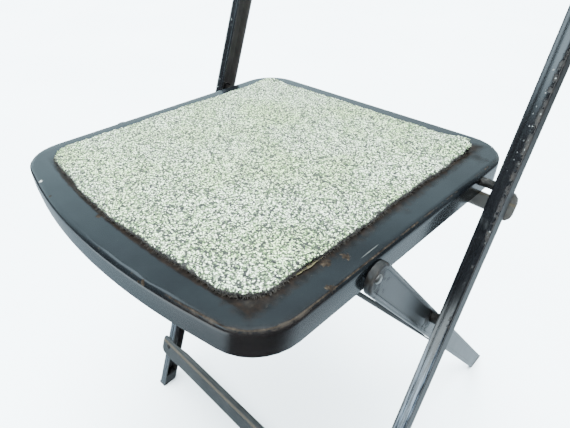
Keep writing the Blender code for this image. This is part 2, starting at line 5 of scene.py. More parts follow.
import bmesh
import bpy
from mathutils import Matrix, Vector
from mathutils.geometry import delaunay_2d_cdt
from mathutils.kdtree import KDTree


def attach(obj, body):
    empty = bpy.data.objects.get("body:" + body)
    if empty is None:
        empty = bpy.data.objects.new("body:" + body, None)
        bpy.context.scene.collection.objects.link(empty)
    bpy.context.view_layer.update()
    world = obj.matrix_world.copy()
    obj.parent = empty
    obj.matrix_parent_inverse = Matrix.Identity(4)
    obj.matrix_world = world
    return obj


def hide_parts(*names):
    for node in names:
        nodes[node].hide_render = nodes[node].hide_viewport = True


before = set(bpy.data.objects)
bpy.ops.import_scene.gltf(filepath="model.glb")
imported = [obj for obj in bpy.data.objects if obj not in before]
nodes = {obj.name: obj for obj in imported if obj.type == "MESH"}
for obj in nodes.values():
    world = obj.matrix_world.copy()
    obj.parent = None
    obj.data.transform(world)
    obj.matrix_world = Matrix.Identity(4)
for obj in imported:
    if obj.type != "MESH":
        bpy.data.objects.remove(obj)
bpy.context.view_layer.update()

# Places of the seat, in metres as all lengths here
SEAT_LINE_Y = -0.229745
SEAT_HEIGHT = 0.450
SEAT_RAKE = math.tan(math.radians(0.5))

# Mat: its edge lines, corners and thickness
MAT_LEFT = -0.1364
MAT_RIGHT = 0.1324
MAT_FRONT = SEAT_LINE_Y + 0.016
MAT_REAR = SEAT_LINE_Y + 0.295
MAT_BOW = 0.011
MAT_BOW_HALF = 0.135
MAT_CORNER_FRONT = 0.026
MAT_CORNER_REAR = 0.014
MAT_CORNER_STEPS = 24
MAT_THICKNESS = 0.0040
MAT_EDGE_ROUND = 0.0032
MAT_EDGE_SHARE = 0.72
MAT_LUMPS = 0.0003
MAT_BELLY = 0.38
MAT_BELLY_OUT = (0.0001, 0.0006)
MAT_PILE = 0.00032
MAT_STITCH = 0.0023
MAT_LOOPS = 880.0
GLUE_LINE = 0.00025

# Waves of the hand-cut edge, each a height, a count round the mat and a start, and its small jags
EDGE_WAVES = ((0.0006, 9, 1.0), (0.0005, 23, 0.0))
EDGE_JAGS = 0.00045

# Points of the mat: rows are closer than columns, and each point strays from its place by a share
ROW_SHARE = 0.866
POINT_STRAY = 0.3
UNDERSIDE_SPACING = 0.012
SPREAD_ASIDE = 0.01
SPREAD_AHEAD = 0.02

# Where the mat has come up: place, rise and reach
MAT_CURLS = ((MAT_RIGHT, MAT_REAR, 0.0062, 0.042), (MAT_LEFT, MAT_REAR, 0.0042, 0.036),
             (MAT_RIGHT, -0.163, 0.0016, 0.030), (MAT_RIGHT, MAT_FRONT, 0.0008, 0.030))

# Loose yarn: ranges from which each end is drawn, levels as shares of the thickness
PALE_ENDS = {"shift": (-0.5, 0.5), "level": (0.15, 0.80), "rise": (-0.25, 0.6), "stray": (-0.7, 0.7),
             "length": (0.0008, 0.0021), "width": (0.00010, 0.00020), "droop": (0.0, 0.35)}
# Dark ends lie long on the pan, partly as painted shade along the mat's front and right edges
DARK_ENDS = {"shift": (-0.6, 0.6), "level": (0.05, 0.45), "rise": (-0.1, 0.3), "stray": (-0.9, 0.9),
             "length": (0.0014, 0.0038), "width": (0.00014, 0.00024), "droop": (0.1, 0.5)}
PALE_ENDS_IN_SIGHT = 4
PALE_ENDS_BEHIND = 2
DARK_ENDS_EACH = 6
IN_SIGHT_STRIP = 0.01
IN_SIGHT_FACING = 0.35
PALE_ROOT_DEPTH = 0.0004
DARK_ROOT_DEPTH = 0.0003
DARK_ROOT_HEIGHT = 0.0003
TUFT_ENDS = {"aside": (-0.0008, 0.0008), "ahead": (-0.0006, 0.0006), "lean": (-0.6, 0.6), "bow": (-0.9, -0.1),
             "rise": (0.6, 1.3), "length": (0.0020, 0.0036), "droop": (0.1, 0.5)}
TUFT_COUNT = 9
TUFT_WIDTH = 0.00030
TUFT_PLACE = (0.1067, -0.2141)
TUFT_ROOT = 0.0024

# Peeled tongue of backing: its run along the right edge, and its section as share of reach, tuck and height
BACKING_START = -0.177
BACKING_END = -0.149
BACKING_STEPS = 22
BACKING_REACH = 0.0017
BACKING_RAG = 0.0003
BACKING_TUCK = -0.004
BACKING_SECTION = ((0.0, BACKING_TUCK, 0.0006), (0.4, 0.0, 0.0007), (1.0, 0.0, 0.0012),
                   (1.0, 0.0, 0.0008), (0.4, 0.0, 0.0003), (0.0, BACKING_TUCK, 0.0003))

# Spots on the pan, each a place and a radius: bared chips, brown smears, pale flecks, scratches along the rim
PAN_CHIPS = (((0.1433, -0.1407, 0.449), 0.0036), ((0.0655, -0.2452, 0.4485), 0.0016),
             ((0.0690, -0.2436, 0.449), 0.0019), ((-0.0141, -0.2290, 0.4495), 0.0024),
             ((-0.0673, -0.2423, 0.449), 0.0015), ((0.1537, -0.1694, 0.448), 0.0032),
             ((0.1374, -0.1546, 0.449), 0.0040), ((0.1300, -0.2008, 0.449), 0.0036))
PAN_SMEARS = (((0.1326, -0.1999, 0.449), 0.0090), ((0.1400, 0.0480, 0.447), 0.0150),
              ((0.1345, -0.1200, 0.449), 0.0120), ((0.1350, -0.0700, 0.449), 0.0110),
              ((0.1180, -0.2190, 0.449), 0.0060))
PAN_FLECKS = (((-0.0954, -0.2379, 0.449), 0.0019), ((0.1072, -0.2412, 0.4470), 0.0009),
              ((0.1075, -0.2420, 0.4455), 0.0009), ((0.1174, -0.2386, 0.4470), 0.0008),
              ((0.0050, -0.2402, 0.449), 0.0006))
PAN_SCRATCHES = (((0.1510, -0.1250, 0.449), 0.00045), ((0.1528, -0.1270, 0.448), 0.00050))
ALONG_RIM = (1.0, 0.045, 1.0)
ALL_ROUND = (1.0, 1.0, 1.0)

# Worn and glued places of the pan, and the painted shade along the mat's edge on pan and mat. Each pair is
# where a mask starts and where it is full:
# by how far the sheet faces up, 1 for level, and then by place or by distance from the mat's edge
CREST_UPPER = (0.925, 0.875)
CREST_LOWER = (0.74, 0.81)
CORNER_UPPER = (0.95, 0.89)
CORNER_LOWER = (0.46, 0.70)
SKIRT = (0.80, 0.40)
NEAR_CORNER = (0.135, -0.222, 0.447)
NEAR_CORNER_REACH = (0.075, 0.035)
CORNER_RIM = (0.139, -0.218, 0.447)
CORNER_RIM_REACH = (0.056, 0.026)
PAN_RIGHT_SIDE = (0.085, 0.120)
PAN_TOWARD_FRONT = (0.05, -0.16)
RIGHT_EDGE = (-0.012, 0.0)
FRONT_EDGE = (-0.006, 0.0)
# Bands round the mat: old glue with painted shade on the right, painted shade and reflection of the mat's
# edge in front
RIGHT_GLUE_AND_SHADE = (0.0110, 0.0010)
FRONT_SHADE_REACH = (0.0044, 0.0022)
FRONT_SHADE_LEFT_END = (-0.145, -0.080)
BLOTCH_EDGE = (0.0010, -0.0030)
BLOTCH_REACH = (0.017, 0.008)
# Lower band of the mat's cut edge: old glue with painted contact shade
MAT_FOOT = (0.0037, 0.0029)

# Rails and rear legs, with the worn places and the painted floor reflection of the rails by depth and by
# height
RAIL_OUTER = 0.18543
RAIL_HALF = 0.010
RAIL_LEAN = math.radians(21.0)
RAIL_ALONG = (0.0, math.sin(RAIL_LEAN), math.cos(RAIL_LEAN))
RAIL_ACROSS = (0.0, math.cos(RAIL_LEAN), -math.sin(RAIL_LEAN))
RAIL_BASE_Y = SEAT_LINE_Y + 0.0752 + RAIL_HALF / math.cos(RAIL_LEAN)
RAIL_START = RAIL_BASE_Y * math.sin(RAIL_LEAN)
RAIL_FRONT_CORNER = (-0.0070, -0.0092)
RAIL_FRONT_FACE = (-0.0090, -0.0098)
# Depth of the painted floor reflection on the rails' front
RAIL_FRONT_REFLECTION = (-0.0088, -0.0096)
RAIL_WORKED_FROM = (0.36, 0.43)
RAIL_WORKED_TO = (0.60, 0.50)
RAIL_UPPER = (0.52, 0.60)
# Heights where the painted floor reflection fades out above and thins at the bottom
RAIL_REFLECTION_TOP = (0.33, 0.24)
RAIL_REFLECTION_FOOT = (0.10, 0.18)
LEG_ANGLE = math.radians(39.8)
LEG_DOWN = (0.0, math.sin(LEG_ANGLE), -math.cos(LEG_ANGLE))
LEG_ASIDE = (0.0, math.cos(LEG_ANGLE), math.sin(LEG_ANGLE))
LEG_ROUND_START = 0.0072
LEG_RECESS_FOOT = 0.0081
LEG_RIDGE = 0.0104
SEAT_PIVOT = (0.0, -0.13354, 0.43866)
LEG_START = SEAT_PIVOT[1] * LEG_DOWN[1] + SEAT_PIVOT[2] * LEG_DOWN[2]
LEG_ASIDE_START = SEAT_PIVOT[1] * LEG_ASIDE[1] + SEAT_PIVOT[2] * LEG_ASIDE[2] + 0.0006
CROSS_PIVOT = (0.0, -0.02281, 0.31528)

# Painted highlight line of each cross bar, drawn as rubbed tan paint: its direction, how far along that it
# lies, and its half width
STRETCHER_LINE = (RAIL_ALONG, RAIL_START + 0.0672 + 0.0086, 0.0042)
CROSSBAR_LINE = (RAIL_ALONG, RAIL_START + 0.4545 + 0.0050, 0.0020)
LEG_BAR_LINE = (LEG_DOWN, LEG_START + 0.2257 + 0.0120, 0.0026)

# Facets nearer than this are one surface, and bends up to this angle look round
FACET_JOIN = 0.00001
GENTLE_BEND = math.radians(36.0)

# Studio: brightness of ceiling, walls, windows and the dark camera side, and the ways they lie
FLOOR_HALF = 9
CEILING_LIGHT = (26.6, 29.5, 30.6, 1.0)
MIRRORED_CEILING = (0.60, 0.72, 0.80, 1.0)
# Glow of the floor's painted light, seen only in reflections
MIRRORED_FLOOR = 4.6
WALL_LIGHT = (1.20, 1.62, 1.80, 1.0)
UPPER_WALL_LIGHT = (0.62, 0.84, 0.95, 1.0)
END_WALL_LIGHT = (0.80, 1.00, 1.08, 1.0)
GLOOM_LIGHT = (0.17, 0.18, 0.20, 1.0)
WINDOW_LIGHT = (3.6, 4.6, 5.2, 1.0)
BACKDROP_LIGHT = (7.6, 8.3, 8.6, 1.0)
UNLIT = (0.0, 0.0, 0.0, 1.0)
WINDOW_TOWARD = (-0.21, -0.80, 0.56)
SIDE_WINDOW_TOWARD = (-0.65, -0.19, 0.735)
GLOOM_TOWARD = (0.70, -0.71, 0.0)
END_WALL_TOWARD = (0.25, 0.97, 0.0)
CAMERA_SIDE_AHEAD = (0.61, -0.79, 0.0)
CAMERA_SIDE_ASIDE = (0.79, 0.61, 0.0)

# Soft edges of the studio's parts, where each starts and where it is full
WINDOW_EDGE = (0.966, 0.992)
SIDE_WINDOW_EDGE = (0.978, 0.990)
GLOOM_EDGE = (-0.44, -0.10)
END_WALL_EDGE = (0.50, 0.90)
UPPER_WALL_EDGE = (0.42, 0.72)
CEILING_EDGE = (0.80, 0.88)
# Where the floor's painted shadow under the camera and its painted shade to the far left lie, in reflections
UNDER_CAMERA_AHEAD = (0.22, 0.58)
UNDER_CAMERA_ASIDE = (-0.10, 0.06)
FAR_LEFT = (-0.6, -1.5)
MIRRORED_DEPTH = (-2.0, 2.0)

# Camera: its place, its turn, tilt down and roll in degrees, and its lens in millimetres
CAMERA_PLACE = (0.27052, -0.325275, 0.63931)
CAMERA_TURN = 44.54556
CAMERA_DOWN = 35.23346
CAMERA_ROLL = -0.67638
CAMERA_LENS = 28.553
CAMERA_SENSOR = 36.0
CAMERA_CLIP = 0.01


def seat_top(y):
    return SEAT_HEIGHT - (y - SEAT_LINE_Y) * SEAT_RAKE


def paint(red, green, blue):
    """Linear colour from the 0 to 255 values of a paint chart."""
    linear = []
    for value in (red, green, blue):
        share = value / 255
        linear.append(share / 12.92 if share <= 0.04045 else ((share + 0.055) / 1.055) ** 2.4)
    return (*linear, 1.0)


# Coats of enamel, each a deep and a high tone that go over into each other
PAN_BLUE_BLACK = (paint(6, 8, 10), paint(12, 15, 17))
PAN_SOOT = (paint(12, 10, 10), paint(19, 16, 16))
RAIL_BLACK = (paint(8, 9, 11), paint(13, 14, 16))
# Painted reflection of the floor on the lower front of the rails
RAIL_FLOOR_REFLECTION = (paint(86, 96, 108), paint(98, 109, 122))
RAIL_INSIDE = (paint(38, 35, 33), paint(51, 47, 45))
LEG_GREY = (paint(17, 18, 20), paint(25, 27, 29))
# Painted shade and painted highlight of the rear legs
LEG_SHADE = (paint(6, 5, 4), paint(10, 8, 7))
LEG_HIGHLIGHT = (paint(66, 67, 68), paint(75, 76, 77))
BAR_BLACK = (paint(26, 27, 27), paint(40, 41, 41))
CROSSBAR_GREY = (paint(46, 44, 42), paint(62, 60, 57))
PANEL_BLACK = (paint(14, 16, 18), paint(22, 25, 28))

# Steels, each a bright and a dull tone
RIVET_STEEL = (paint(92, 90, 88), paint(56, 53, 50))
PIN_STEEL = (paint(66, 64, 62), paint(36, 34, 33))
PIVOT_STEEL = (paint(180, 180, 178), paint(136, 134, 130))

# Other colours: tones of a kind with their places from 0 to 1, and single ones
RUST_TONES = ((0.32, paint(13, 10, 8)), (0.46, paint(24, 19, 15)), (0.57, paint(38, 32, 26)),
              (0.70, paint(62, 55, 46)))
LOOP_TONES = ((0.0, paint(4, 5, 4)), (0.28, paint(12, 16, 12)), (0.38, paint(54, 72, 48)),
              (0.52, paint(124, 154, 108)), (0.67, paint(206, 236, 188)), (0.80, paint(250, 255, 242)))
# Dark tones of old glue, also used for the painted shade along the mat's edge
GLUE_AND_SHADE_TONES = ((0.40, paint(9, 7, 6)), (0.70, paint(26, 20, 16)))
JUTE_TONES = ((0.34, paint(39, 34, 17)), (0.50, paint(63, 57, 31)), (0.66, paint(88, 82, 54)))
YARN_TONES = ((0.35, paint(10, 9, 7)), (0.65, paint(40, 34, 26)))
FLOOR_TONES = ((0.3, paint(238, 243, 246)), (0.7, paint(244, 248, 250)))
# Painted light and shade of the floor as seen in reflections, from front to back
MIRRORED_TONES = ((0.10, paint(236, 250, 255)), (0.28, paint(212, 230, 240)), (0.37, paint(100, 114, 122)),
                  (0.40, paint(96, 110, 118)), (0.48, paint(142, 157, 166)), (0.68, paint(142, 157, 166)),
                  (0.86, paint(40, 42, 44)))
MIRRORED_SHADE = paint(24, 25, 26)
LOOP_SHADE = paint(16, 20, 16)
RIM_TAN = paint(50, 45, 40)
# Tan of the painted highlight on the cross bars' pressed edge
BAR_HIGHLIGHT_TAN = paint(74, 66, 53)
PAN_FLECK = paint(150, 152, 146)
RAIL_PRIMER = paint(132, 136, 134)
RUBBER_BLACK = paint(15, 15, 16)
FLOOR_DUST = paint(66, 63, 59)
MAT_YELLOWING = paint(222, 238, 194)
MAT_STAIN = paint(226, 230, 232)
# Colour of the mat's cut edge low down: old glue with painted contact shade
MAT_GLUED_AND_SHADED = paint(23, 19, 15)
JUTE_GLUED = paint(36, 28, 18)


class Recipe:
    """Lays shader nodes in one tree and joins them up."""

    def __init__(self, tree):
        self.tree = tree

    def put(self, kind, sockets=None, **settings):
        made = self.tree.nodes.new("ShaderNode" + kind)
        for name, value in settings.items():
            setattr(made, name, value)
        for name, value in (sockets or {}).items():
            self.feed(made.inputs[name], value)
        return made

    def feed(self, socket, value):
        if isinstance(value, bpy.types.NodeSocket):
            self.tree.links.new(value, socket)
        else:
            socket.default_value = value

    def reckon(self, operation, *values):
        return self.put("Math", dict(enumerate(values)), operation=operation).outputs[0]

    def join(self, operation, first, *others):
        for other in others:
            first = self.reckon(operation, first, other)
        return first

    def add(self, *values):
        return self.join("ADD", *values)

    def times(self, *values):
        return self.join("MULTIPLY", *values)

    def most(self, *masks):
        """The strongest of several masks."""
        return self.join("MAXIMUM", *masks)

    def less(self, value, taken):
        return self.reckon("SUBTRACT", value, taken)

    def size(self, value):
        return self.reckon("ABSOLUTE", value)

    def vector(self, operation, *values):
        made = self.put("VectorMath", dict(enumerate(values)), operation=operation)
        single = operation in ("DOT_PRODUCT", "DISTANCE", "LENGTH")
        return made.outputs["Value" if single else "Vector"]

    def along(self, place, direction):
        return self.vector("DOT_PRODUCT", place, direction)

    def away(self, place, centre):
        return self.vector("DISTANCE", place, centre)

    def stretch(self, place, shares):
        return self.vector("MULTIPLY", place, shares)

    def step(self, value, low, high):
        """Smooth 0 to 1 as the value goes from low to high."""
        sockets = {"Value": value, "From Min": low, "From Max": high}
        return self.put("MapRange", sockets, interpolation_type="SMOOTHSTEP").outputs["Result"]

    def span(self, value, low, high):
        """Straight 0 to 1 share put between two values."""
        return self.put("MapRange", {"Value": value, "To Min": low, "To Max": high}).outputs["Result"]

    def mix(self, share, first, second, blend="MIX"):
        made = self.put("Mix", data_type="RGBA", blend_type=blend)
        self.feed(made.inputs["Factor"], share)
        self.feed(made.inputs[6], first)
        self.feed(made.inputs[7], second)
        return made.outputs[2]

    def ramp(self, share, tones):
        made = self.put("ValToRGB", {"Fac": share})
        ramp = made.color_ramp
        while len(ramp.elements) < len(tones):
            ramp.elements.new(1.0)
        for element, (place, colour) in zip(ramp.elements, tones):
            element.position = place
            element.color = colour
        return made.outputs["Color"]

    def noise(self, place, scale, detail, roughness):
        sockets = {"Vector": place, "Scale": scale, "Detail": detail, "Roughness": roughness}
        return self.put("TexNoise", sockets).outputs["Fac"]

    def waver(self, place, swing, scale, detail, roughness):
        """Noise that swings about zero."""
        return self.times(self.less(self.noise(place, scale, detail, roughness), 0.5), swing)

    def split(self, place):
        return self.put("SeparateXYZ", {"Vector": place}).outputs

    def facing(self):
        """Way the surface faces on the piece as it was made."""
        return self.split(self.put("TexCoord").outputs["Normal"])

    def use(self, effect, sockets):
        """One of the shared effects, with this material's own values."""
        made = self.tree.nodes.new("ShaderNodeGroup")
        made.node_tree = effect
        for name, value in sockets.items():
            self.feed(made.inputs[name], value)
        return made.outputs


def start_effect(name, takes, gives):
    """Empty shared effect: a node group, its recipe, what goes in and where to put what comes out."""
    effect = bpy.data.node_groups.new(name, "ShaderNodeTree")
    kinds = {"value": "NodeSocketFloat", "vector": "NodeSocketVector", "colour": "NodeSocketColor"}
    for label, kind in takes:
        effect.interface.new_socket(label, in_out="INPUT", socket_type=kinds[kind])
    for label, kind in gives:
        effect.interface.new_socket(label, in_out="OUTPUT", socket_type=kinds[kind])
    came = effect.nodes.new("NodeGroupInput")
    goes = effect.nodes.new("NodeGroupOutput")
    return effect, Recipe(effect), came.outputs, goes.inputs


def edge_wear_effect():
    """Paint rubbed through on sharp edges, broken up by noise."""
    takes = [("Place", "vector"), ("Reach", "value"), ("Grain", "value"), ("Amount", "value")]
    effect, r, came, goes = start_effect("edge wear", takes, [("Mask", "value")])
    rounded = r.put("Bevel", {"Radius": came["Reach"]}, samples=6).outputs["Normal"]
    normal = r.put("NewGeometry").outputs["Normal"]
    bent = r.less(1.0, r.along(rounded, normal))
    edge = r.step(bent, 0.03, 0.18)
    patchy = r.noise(came["Place"], came["Grain"], detail=5.0, roughness=0.65)
    level = r.add(r.times(edge, came["Amount"]), r.times(patchy, 0.9))
    r.feed(goes["Mask"], r.times(r.step(level, 0.86, 1.0), edge))
    return effect


def rust_effect():
    """Colours of bared, rusted sheet: from burnt brown through rust to tan."""
    takes = [("Place", "vector"), ("Grain", "value")]
    gives = [("Color", "colour"), ("Height", "value")]
    effect, r, came, goes = start_effect("rust", takes, gives)
    coarse = r.noise(came["Place"], came["Grain"], detail=6.0, roughness=0.7)
    r.feed(goes["Color"], r.ramp(coarse, RUST_TONES))
    r.feed(goes["Height"], coarse)
    return effect


def chip_effect():
    """One spot of lost paint at a given place, with a ragged rim."""
    takes = [("Place", "vector"), ("Centre", "vector"), ("Radius", "value"), ("Grain", "value"),
             ("Core", "value")]
    effect, r, came, goes = start_effect("chip", takes, [("Mask", "value")])
    away = r.reckon("DIVIDE", r.away(came["Place"], came["Centre"]), came["Radius"])
    ragged = r.waver(came["Place"], 2.6, came["Grain"], detail=4.0, roughness=0.6)
    r.feed(goes["Mask"], r.step(r.add(away, ragged), 1.0, came["Core"]))
    return effect


def enamel_skin_effect():
    """Cloudy tone of old gloss enamel and its fine ripple."""
    gives = [("Cloud", "value"), ("Ripple", "value")]
    effect, r, came, goes = start_effect("enamel skin", [("Place", "vector")], gives)
    r.feed(goes["Cloud"], r.noise(came["Place"], scale=22.0, detail=4.0, roughness=0.6))
    r.feed(goes["Ripple"], r.noise(came["Place"], scale=420.0, detail=2.0, roughness=0.5))
    return effect


def loop_pile_effect():
    """Looped tweed: pale, grey-green and dark loops, each a raised lump, with painted shade in the gaps
    between them.
    """
    takes = [("Place", "vector"), ("Loops", "value")]
    gives = [("Color", "colour"), ("Height", "value")]
    effect, r, came, goes = start_effect("loop pile", takes, gives)
    swirl = r.put("TexNoise", {"Vector": came["Place"], "Scale": 260.0, "Detail": 2.0}).outputs["Color"]
    bent = r.vector("MULTIPLY_ADD", swirl, (0.0030, 0.0030, 0.0030), came["Place"])
    cells = r.put("TexVoronoi", {"Vector": bent, "Scale": came["Loops"]}, feature="F1").outputs
    loops = r.ramp(r.split(cells["Color"])["X"], LOOP_TONES)
    lump = r.less(1.0, r.times(cells["Distance"], 1.25))
    shade = r.step(lump, 0.05, 0.75)
    r.feed(goes["Color"], r.mix(r.span(shade, 0.12, 1.0), LOOP_SHADE, loops))
    r.feed(goes["Height"], lump)
    return effect


edge_wear = edge_wear_effect()
rust = rust_effect()
chip = chip_effect()
enamel_skin = enamel_skin_effect()
loop_pile = loop_pile_effect()


def start_finish(name, **constants):
    """New material: its recipe, its shader, and places on the piece as it was made."""
    finish = bpy.data.materials.new(name)
    finish.use_nodes = True
    r = Recipe(finish.node_tree)
    shader = finish.node_tree.nodes["Principled BSDF"]
    for label, value in constants.items():
        shader.inputs[label.replace("_", " ")].default_value = value
    return finish, r, shader, r.put("TexCoord").outputs["Object"]


def worn_edges(r, place, reach, grain, amount):
    sockets = {"Place": place, "Reach": reach, "Grain": grain, "Amount": amount}
    return r.use(edge_wear, sockets)["Mask"]


def blend_coats(r, share, first, second):
    """Deep and high tone of one coat of enamel, going over to those of another."""
    return [r.mix(share, *tones) for tones in zip(first, second)]


def emboss(r, shader, height, strength, depth):
    """Raises the surface by a height; gives the bump, so that it can start from a rounded edge."""
    bump = r.put("Bump", {"Height": height, "Strength": strength, "Distance": depth})
    r.feed(shader.inputs["Normal"], bump.outputs["Normal"])
    return bump


def lay_enamel(r, shader, place, worn, coat, rust_colour, rust_height, gloss, ripple=0.03, edge_round=0.0005,
               dull=None):
    """Coat of enamel with rust where it is worn away; gives its colour."""
    skin = r.use(enamel_skin, {"Place": place})
    tone = r.mix(r.step(skin["Cloud"], 0.3, 0.7), *coat)
    colour = r.mix(worn, tone, rust_colour)
    r.feed(shader.inputs["Base Color"], colour)
    shine = r.span(skin["Cloud"], *gloss)
    rough = worn if dull is None else r.most(worn, dull)
    r.feed(shader.inputs["Roughness"], r.add(shine, r.times(rough, 0.45)))
    lost = r.times(worn, r.span(rust_height, -1.6, -0.6))
    bump = emboss(r, shader, r.add(r.times(skin["Ripple"], ripple), lost), strength=0.5, depth=0.0003)
    if edge_round:
        rounded = r.put("Bevel", {"Radius": edge_round}, samples=6).outputs["Normal"]
        r.feed(bump.inputs["Normal"], rounded)
    return colour


def make_pan_finish():
    """Seat pan: blue-black enamel, tan where the rim is rubbed, rust and old glue round the mat, and a dark
    band of painted shade and reflection along the mat's front and right edges.
    """
    finish, r, shader, place = start_finish("pan enamel", Specular_IOR_Level=0.03, Coat_Roughness=0.17,
                                            Coat_IOR=1.43)
    x, y = r.split(place)[:2]
    up = r.facing()["Z"]
    crest = r.times(r.step(up, *CREST_UPPER), r.step(up, *CREST_LOWER))
    right = r.step(x, *PAN_RIGHT_SIDE)
    near = r.step(r.away(place, NEAR_CORNER), *NEAR_CORNER_REACH)
    fade = r.step(y, *PAN_TOWARD_FRONT)
    patchy = r.noise(place, scale=95.0, detail=6.0, roughness=0.68)
    streaky = r.noise(r.stretch(place, (1.0, 0.25, 1.0)), scale=210.0, detail=4.0, roughness=0.6)
    weight = r.add(r.times(right, r.span(fade, 0.08, 0.20)), r.times(near, 0.16))
    rim = r.times(crest, r.step(r.add(patchy, weight, r.times(streaky, 0.3)), 0.74, 0.92))

    bow = r.times(r.reckon("POWER", r.reckon("DIVIDE", x, MAT_BOW_HALF), 2.0), MAT_BOW)
    ahead = r.less(r.add(bow, MAT_FRONT - MAT_BOW), y)
    beside = r.less(x, MAT_RIGHT)
    outside = r.most(ahead, beside, r.less(MAT_LEFT, x), r.less(y, MAT_REAR))
    ragged = r.waver(place, swing=0.010, scale=160.0, detail=5.0, roughness=0.65)
    at_right = r.step(beside, *RIGHT_EDGE)
    # Dark band round the mat: old glue with painted shade on the right, painted shade and reflection of the
    # mat's edge in front
    right_glue_and_shade = r.times(at_right, r.step(r.add(outside, ragged), *RIGHT_GLUE_AND_SHADE))
    front_edge_shade = r.times(r.step(ahead, *FRONT_EDGE), r.step(x, *FRONT_SHADE_LEFT_END),
                         r.step(r.add(outside, r.times(ragged, 0.3)), *FRONT_SHADE_REACH))
    spread = r.add(outside, r.waver(place, swing=0.036, scale=70.0, detail=5.0, roughness=0.7))
    blotch = r.times(at_right, r.step(spread, *BLOTCH_EDGE), r.step(outside, *BLOTCH_REACH))

    def spots(places, grain, core, stretch=ALL_ROUND):
        """Mask of several chips or smears, each with a place and a radius."""
        drawn = r.stretch(place, stretch)
        masks = []
        for centre, radius in places:
            middle = [length * share for length, share in zip(centre, stretch)]
            sockets = {"Place": drawn, "Centre": middle, "Radius": radius, "Grain": grain, "Core": core}
            masks.append(r.use(chip, sockets)["Mask"])
        return r.most(*masks)

    chips = spots(PAN_CHIPS, grain=380.0, core=0.75)
    smears = spots(PAN_SMEARS, grain=120.0, core=0.0)
    flecks = spots(PAN_FLECKS, grain=700.0, core=0.7)
    scratches = spots(PAN_SCRATCHES, grain=500.0, core=0.6, stretch=ALONG_RIM)
    edges = worn_edges(r, place, reach=0.0011, grain=130.0, amount=0.30)
    at_corner = r.step(r.away(place, CORNER_RIM), *CORNER_RIM_REACH)
    corner_rub = r.times(at_corner, r.step(up, *CORNER_UPPER), r.step(up, *CORNER_LOWER),
                         r.step(patchy, 0.38, 0.62))
    worn = r.most(rim, r.times(blotch, 0.6), edges, chips, r.times(corner_rub, 0.75))
    bared = r.use(rust, {"Place": place, "Grain": 230.0})
    rubbed = r.mix(r.times(corner_rub, 0.6), bared["Color"], RIM_TAN)
    sooty = r.times(r.step(up, *SKIRT), near)
    coat = blend_coats(r, sooty, PAN_BLUE_BLACK, PAN_SOOT)
    enamel = lay_enamel(r, shader, place, worn, coat, rubbed, bared["Height"], gloss=(0.30, 0.45),
                        ripple=0.010, edge_round=None)
    # Glue and brown smears, with the painted shade along the mat's edge, darken the enamel and thin its coat
    glue_and_shade = r.most(right_glue_and_shade, front_edge_shade, r.times(smears, 0.6))
    glue_and_shade_tone = r.ramp(r.noise(place, scale=140.0, detail=4.0, roughness=0.6), GLUE_AND_SHADE_TONES)
    glued_and_shaded = r.mix(r.times(glue_and_shade, r.less(1.0, worn)), enamel, glue_and_shade_tone)
    pale = r.most(flecks, r.times(scratches, 0.10))
    r.feed(shader.inputs["Base Color"], r.mix(pale, glued_and_shaded, PAN_FLECK))
    r.feed(shader.inputs["Coat Weight"], r.span(r.most(worn, glue_and_shade), 1.0, 0.12))
    return finish


def make_rail_finish():
    """Rails: glossy black enamel, rubbed brown on the outer front corner, with light flecks of primer and a
    painted reflection of the floor in light streaks low on the front.
    """
    finish, r, shader, place = start_finish("rail enamel", IOR=1.8)
    x = r.split(place)["X"]
    z = r.split(place)["Z"]
    behind = r.less(r.along(place, RAIL_ACROSS), RAIL_BASE_Y * math.cos(RAIL_LEAN))

    def inward(start, full):
        """Mask by the distance in from the rail's outer face."""
        return r.step(r.size(x), RAIL_OUTER - start, RAIL_OUTER - full)

    def amid(start, full):
        """Mask by the distance in from the rail's front and rear edges."""
        return r.step(r.size(behind), RAIL_HALF - start, RAIL_HALF - full)

    worked = r.times(r.step(z, *RAIL_WORKED_FROM), r.step(z, *RAIL_WORKED_TO))
    upper = r.step(z, *RAIL_UPPER)
    handled = r.less(r.times(worked, 0.12), r.times(upper, 0.05))
    patchy = r.noise(place, scale=120.0, detail=6.0, roughness=0.7)
    corner = r.times(inward(0.0048, 0.0016), r.step(behind, *RAIL_FRONT_CORNER))
    rubbed = r.times(corner, r.step(r.add(patchy, handled), 0.56, 0.68))
    flecks = r.put("TexVoronoi", {"Vector": place, "Scale": 520.0, "Randomness": 1.0}).outputs
    lucky = r.step(r.split(flecks["Color"])["Y"], 0.80, 0.86)
    dots = r.times(lucky, r.step(flecks["Distance"], 0.40, 0.24))
    face = r.times(inward(0.0100, 0.0040), r.step(behind, *RAIL_FRONT_FACE))
    cloudy = r.noise(place, scale=45.0, detail=3.0, roughness=0.55)
    flaked = r.times(dots, face, r.step(r.add(cloudy, r.times(worked, 0.22)), 0.60, 0.70))
    edges = worn_edges(r, place, reach=0.0010, grain=150.0, amount=0.34)
    bared = r.use(rust, {"Place": place, "Grain": 260.0})
    colour = r.mix(flaked, bared["Color"], RAIL_PRIMER)
    worn = r.most(rubbed, edges, flaked)
    inside = r.times(inward(0.0005, 0.0008), amid(0.0005, 0.0008))
    web = r.times(inward(0.0006, 0.0002), amid(0.0008, 0.0030))
    length = r.times(r.along(place, RAIL_ALONG), 0.04)
    drawn = r.put("CombineXYZ", {"X": x, "Y": behind, "Z": length}).outputs[0]
    streaks = r.noise(drawn, scale=620.0, detail=4.0, roughness=0.6)
    # Painted reflection of the floor, in light streaks low on the rail's front
    floor_reflection = r.times(r.step(z, *RAIL_REFLECTION_TOP), r.step(behind, *RAIL_FRONT_REFLECTION),
                      r.step(streaks, 0.40, 0.66), r.span(r.step(z, *RAIL_REFLECTION_FOOT), 0.35, 1.0))
    coat = blend_coats(r, inside, blend_coats(r, floor_reflection, RAIL_BLACK, RAIL_FLOOR_REFLECTION), RAIL_INSIDE)
    lay_enamel(r, shader, place, worn, coat, colour, bared["Height"], gloss=(0.07, 0.15), ripple=0.006,
               edge_round=0.0026, dull=r.most(inside, web))
    return finish


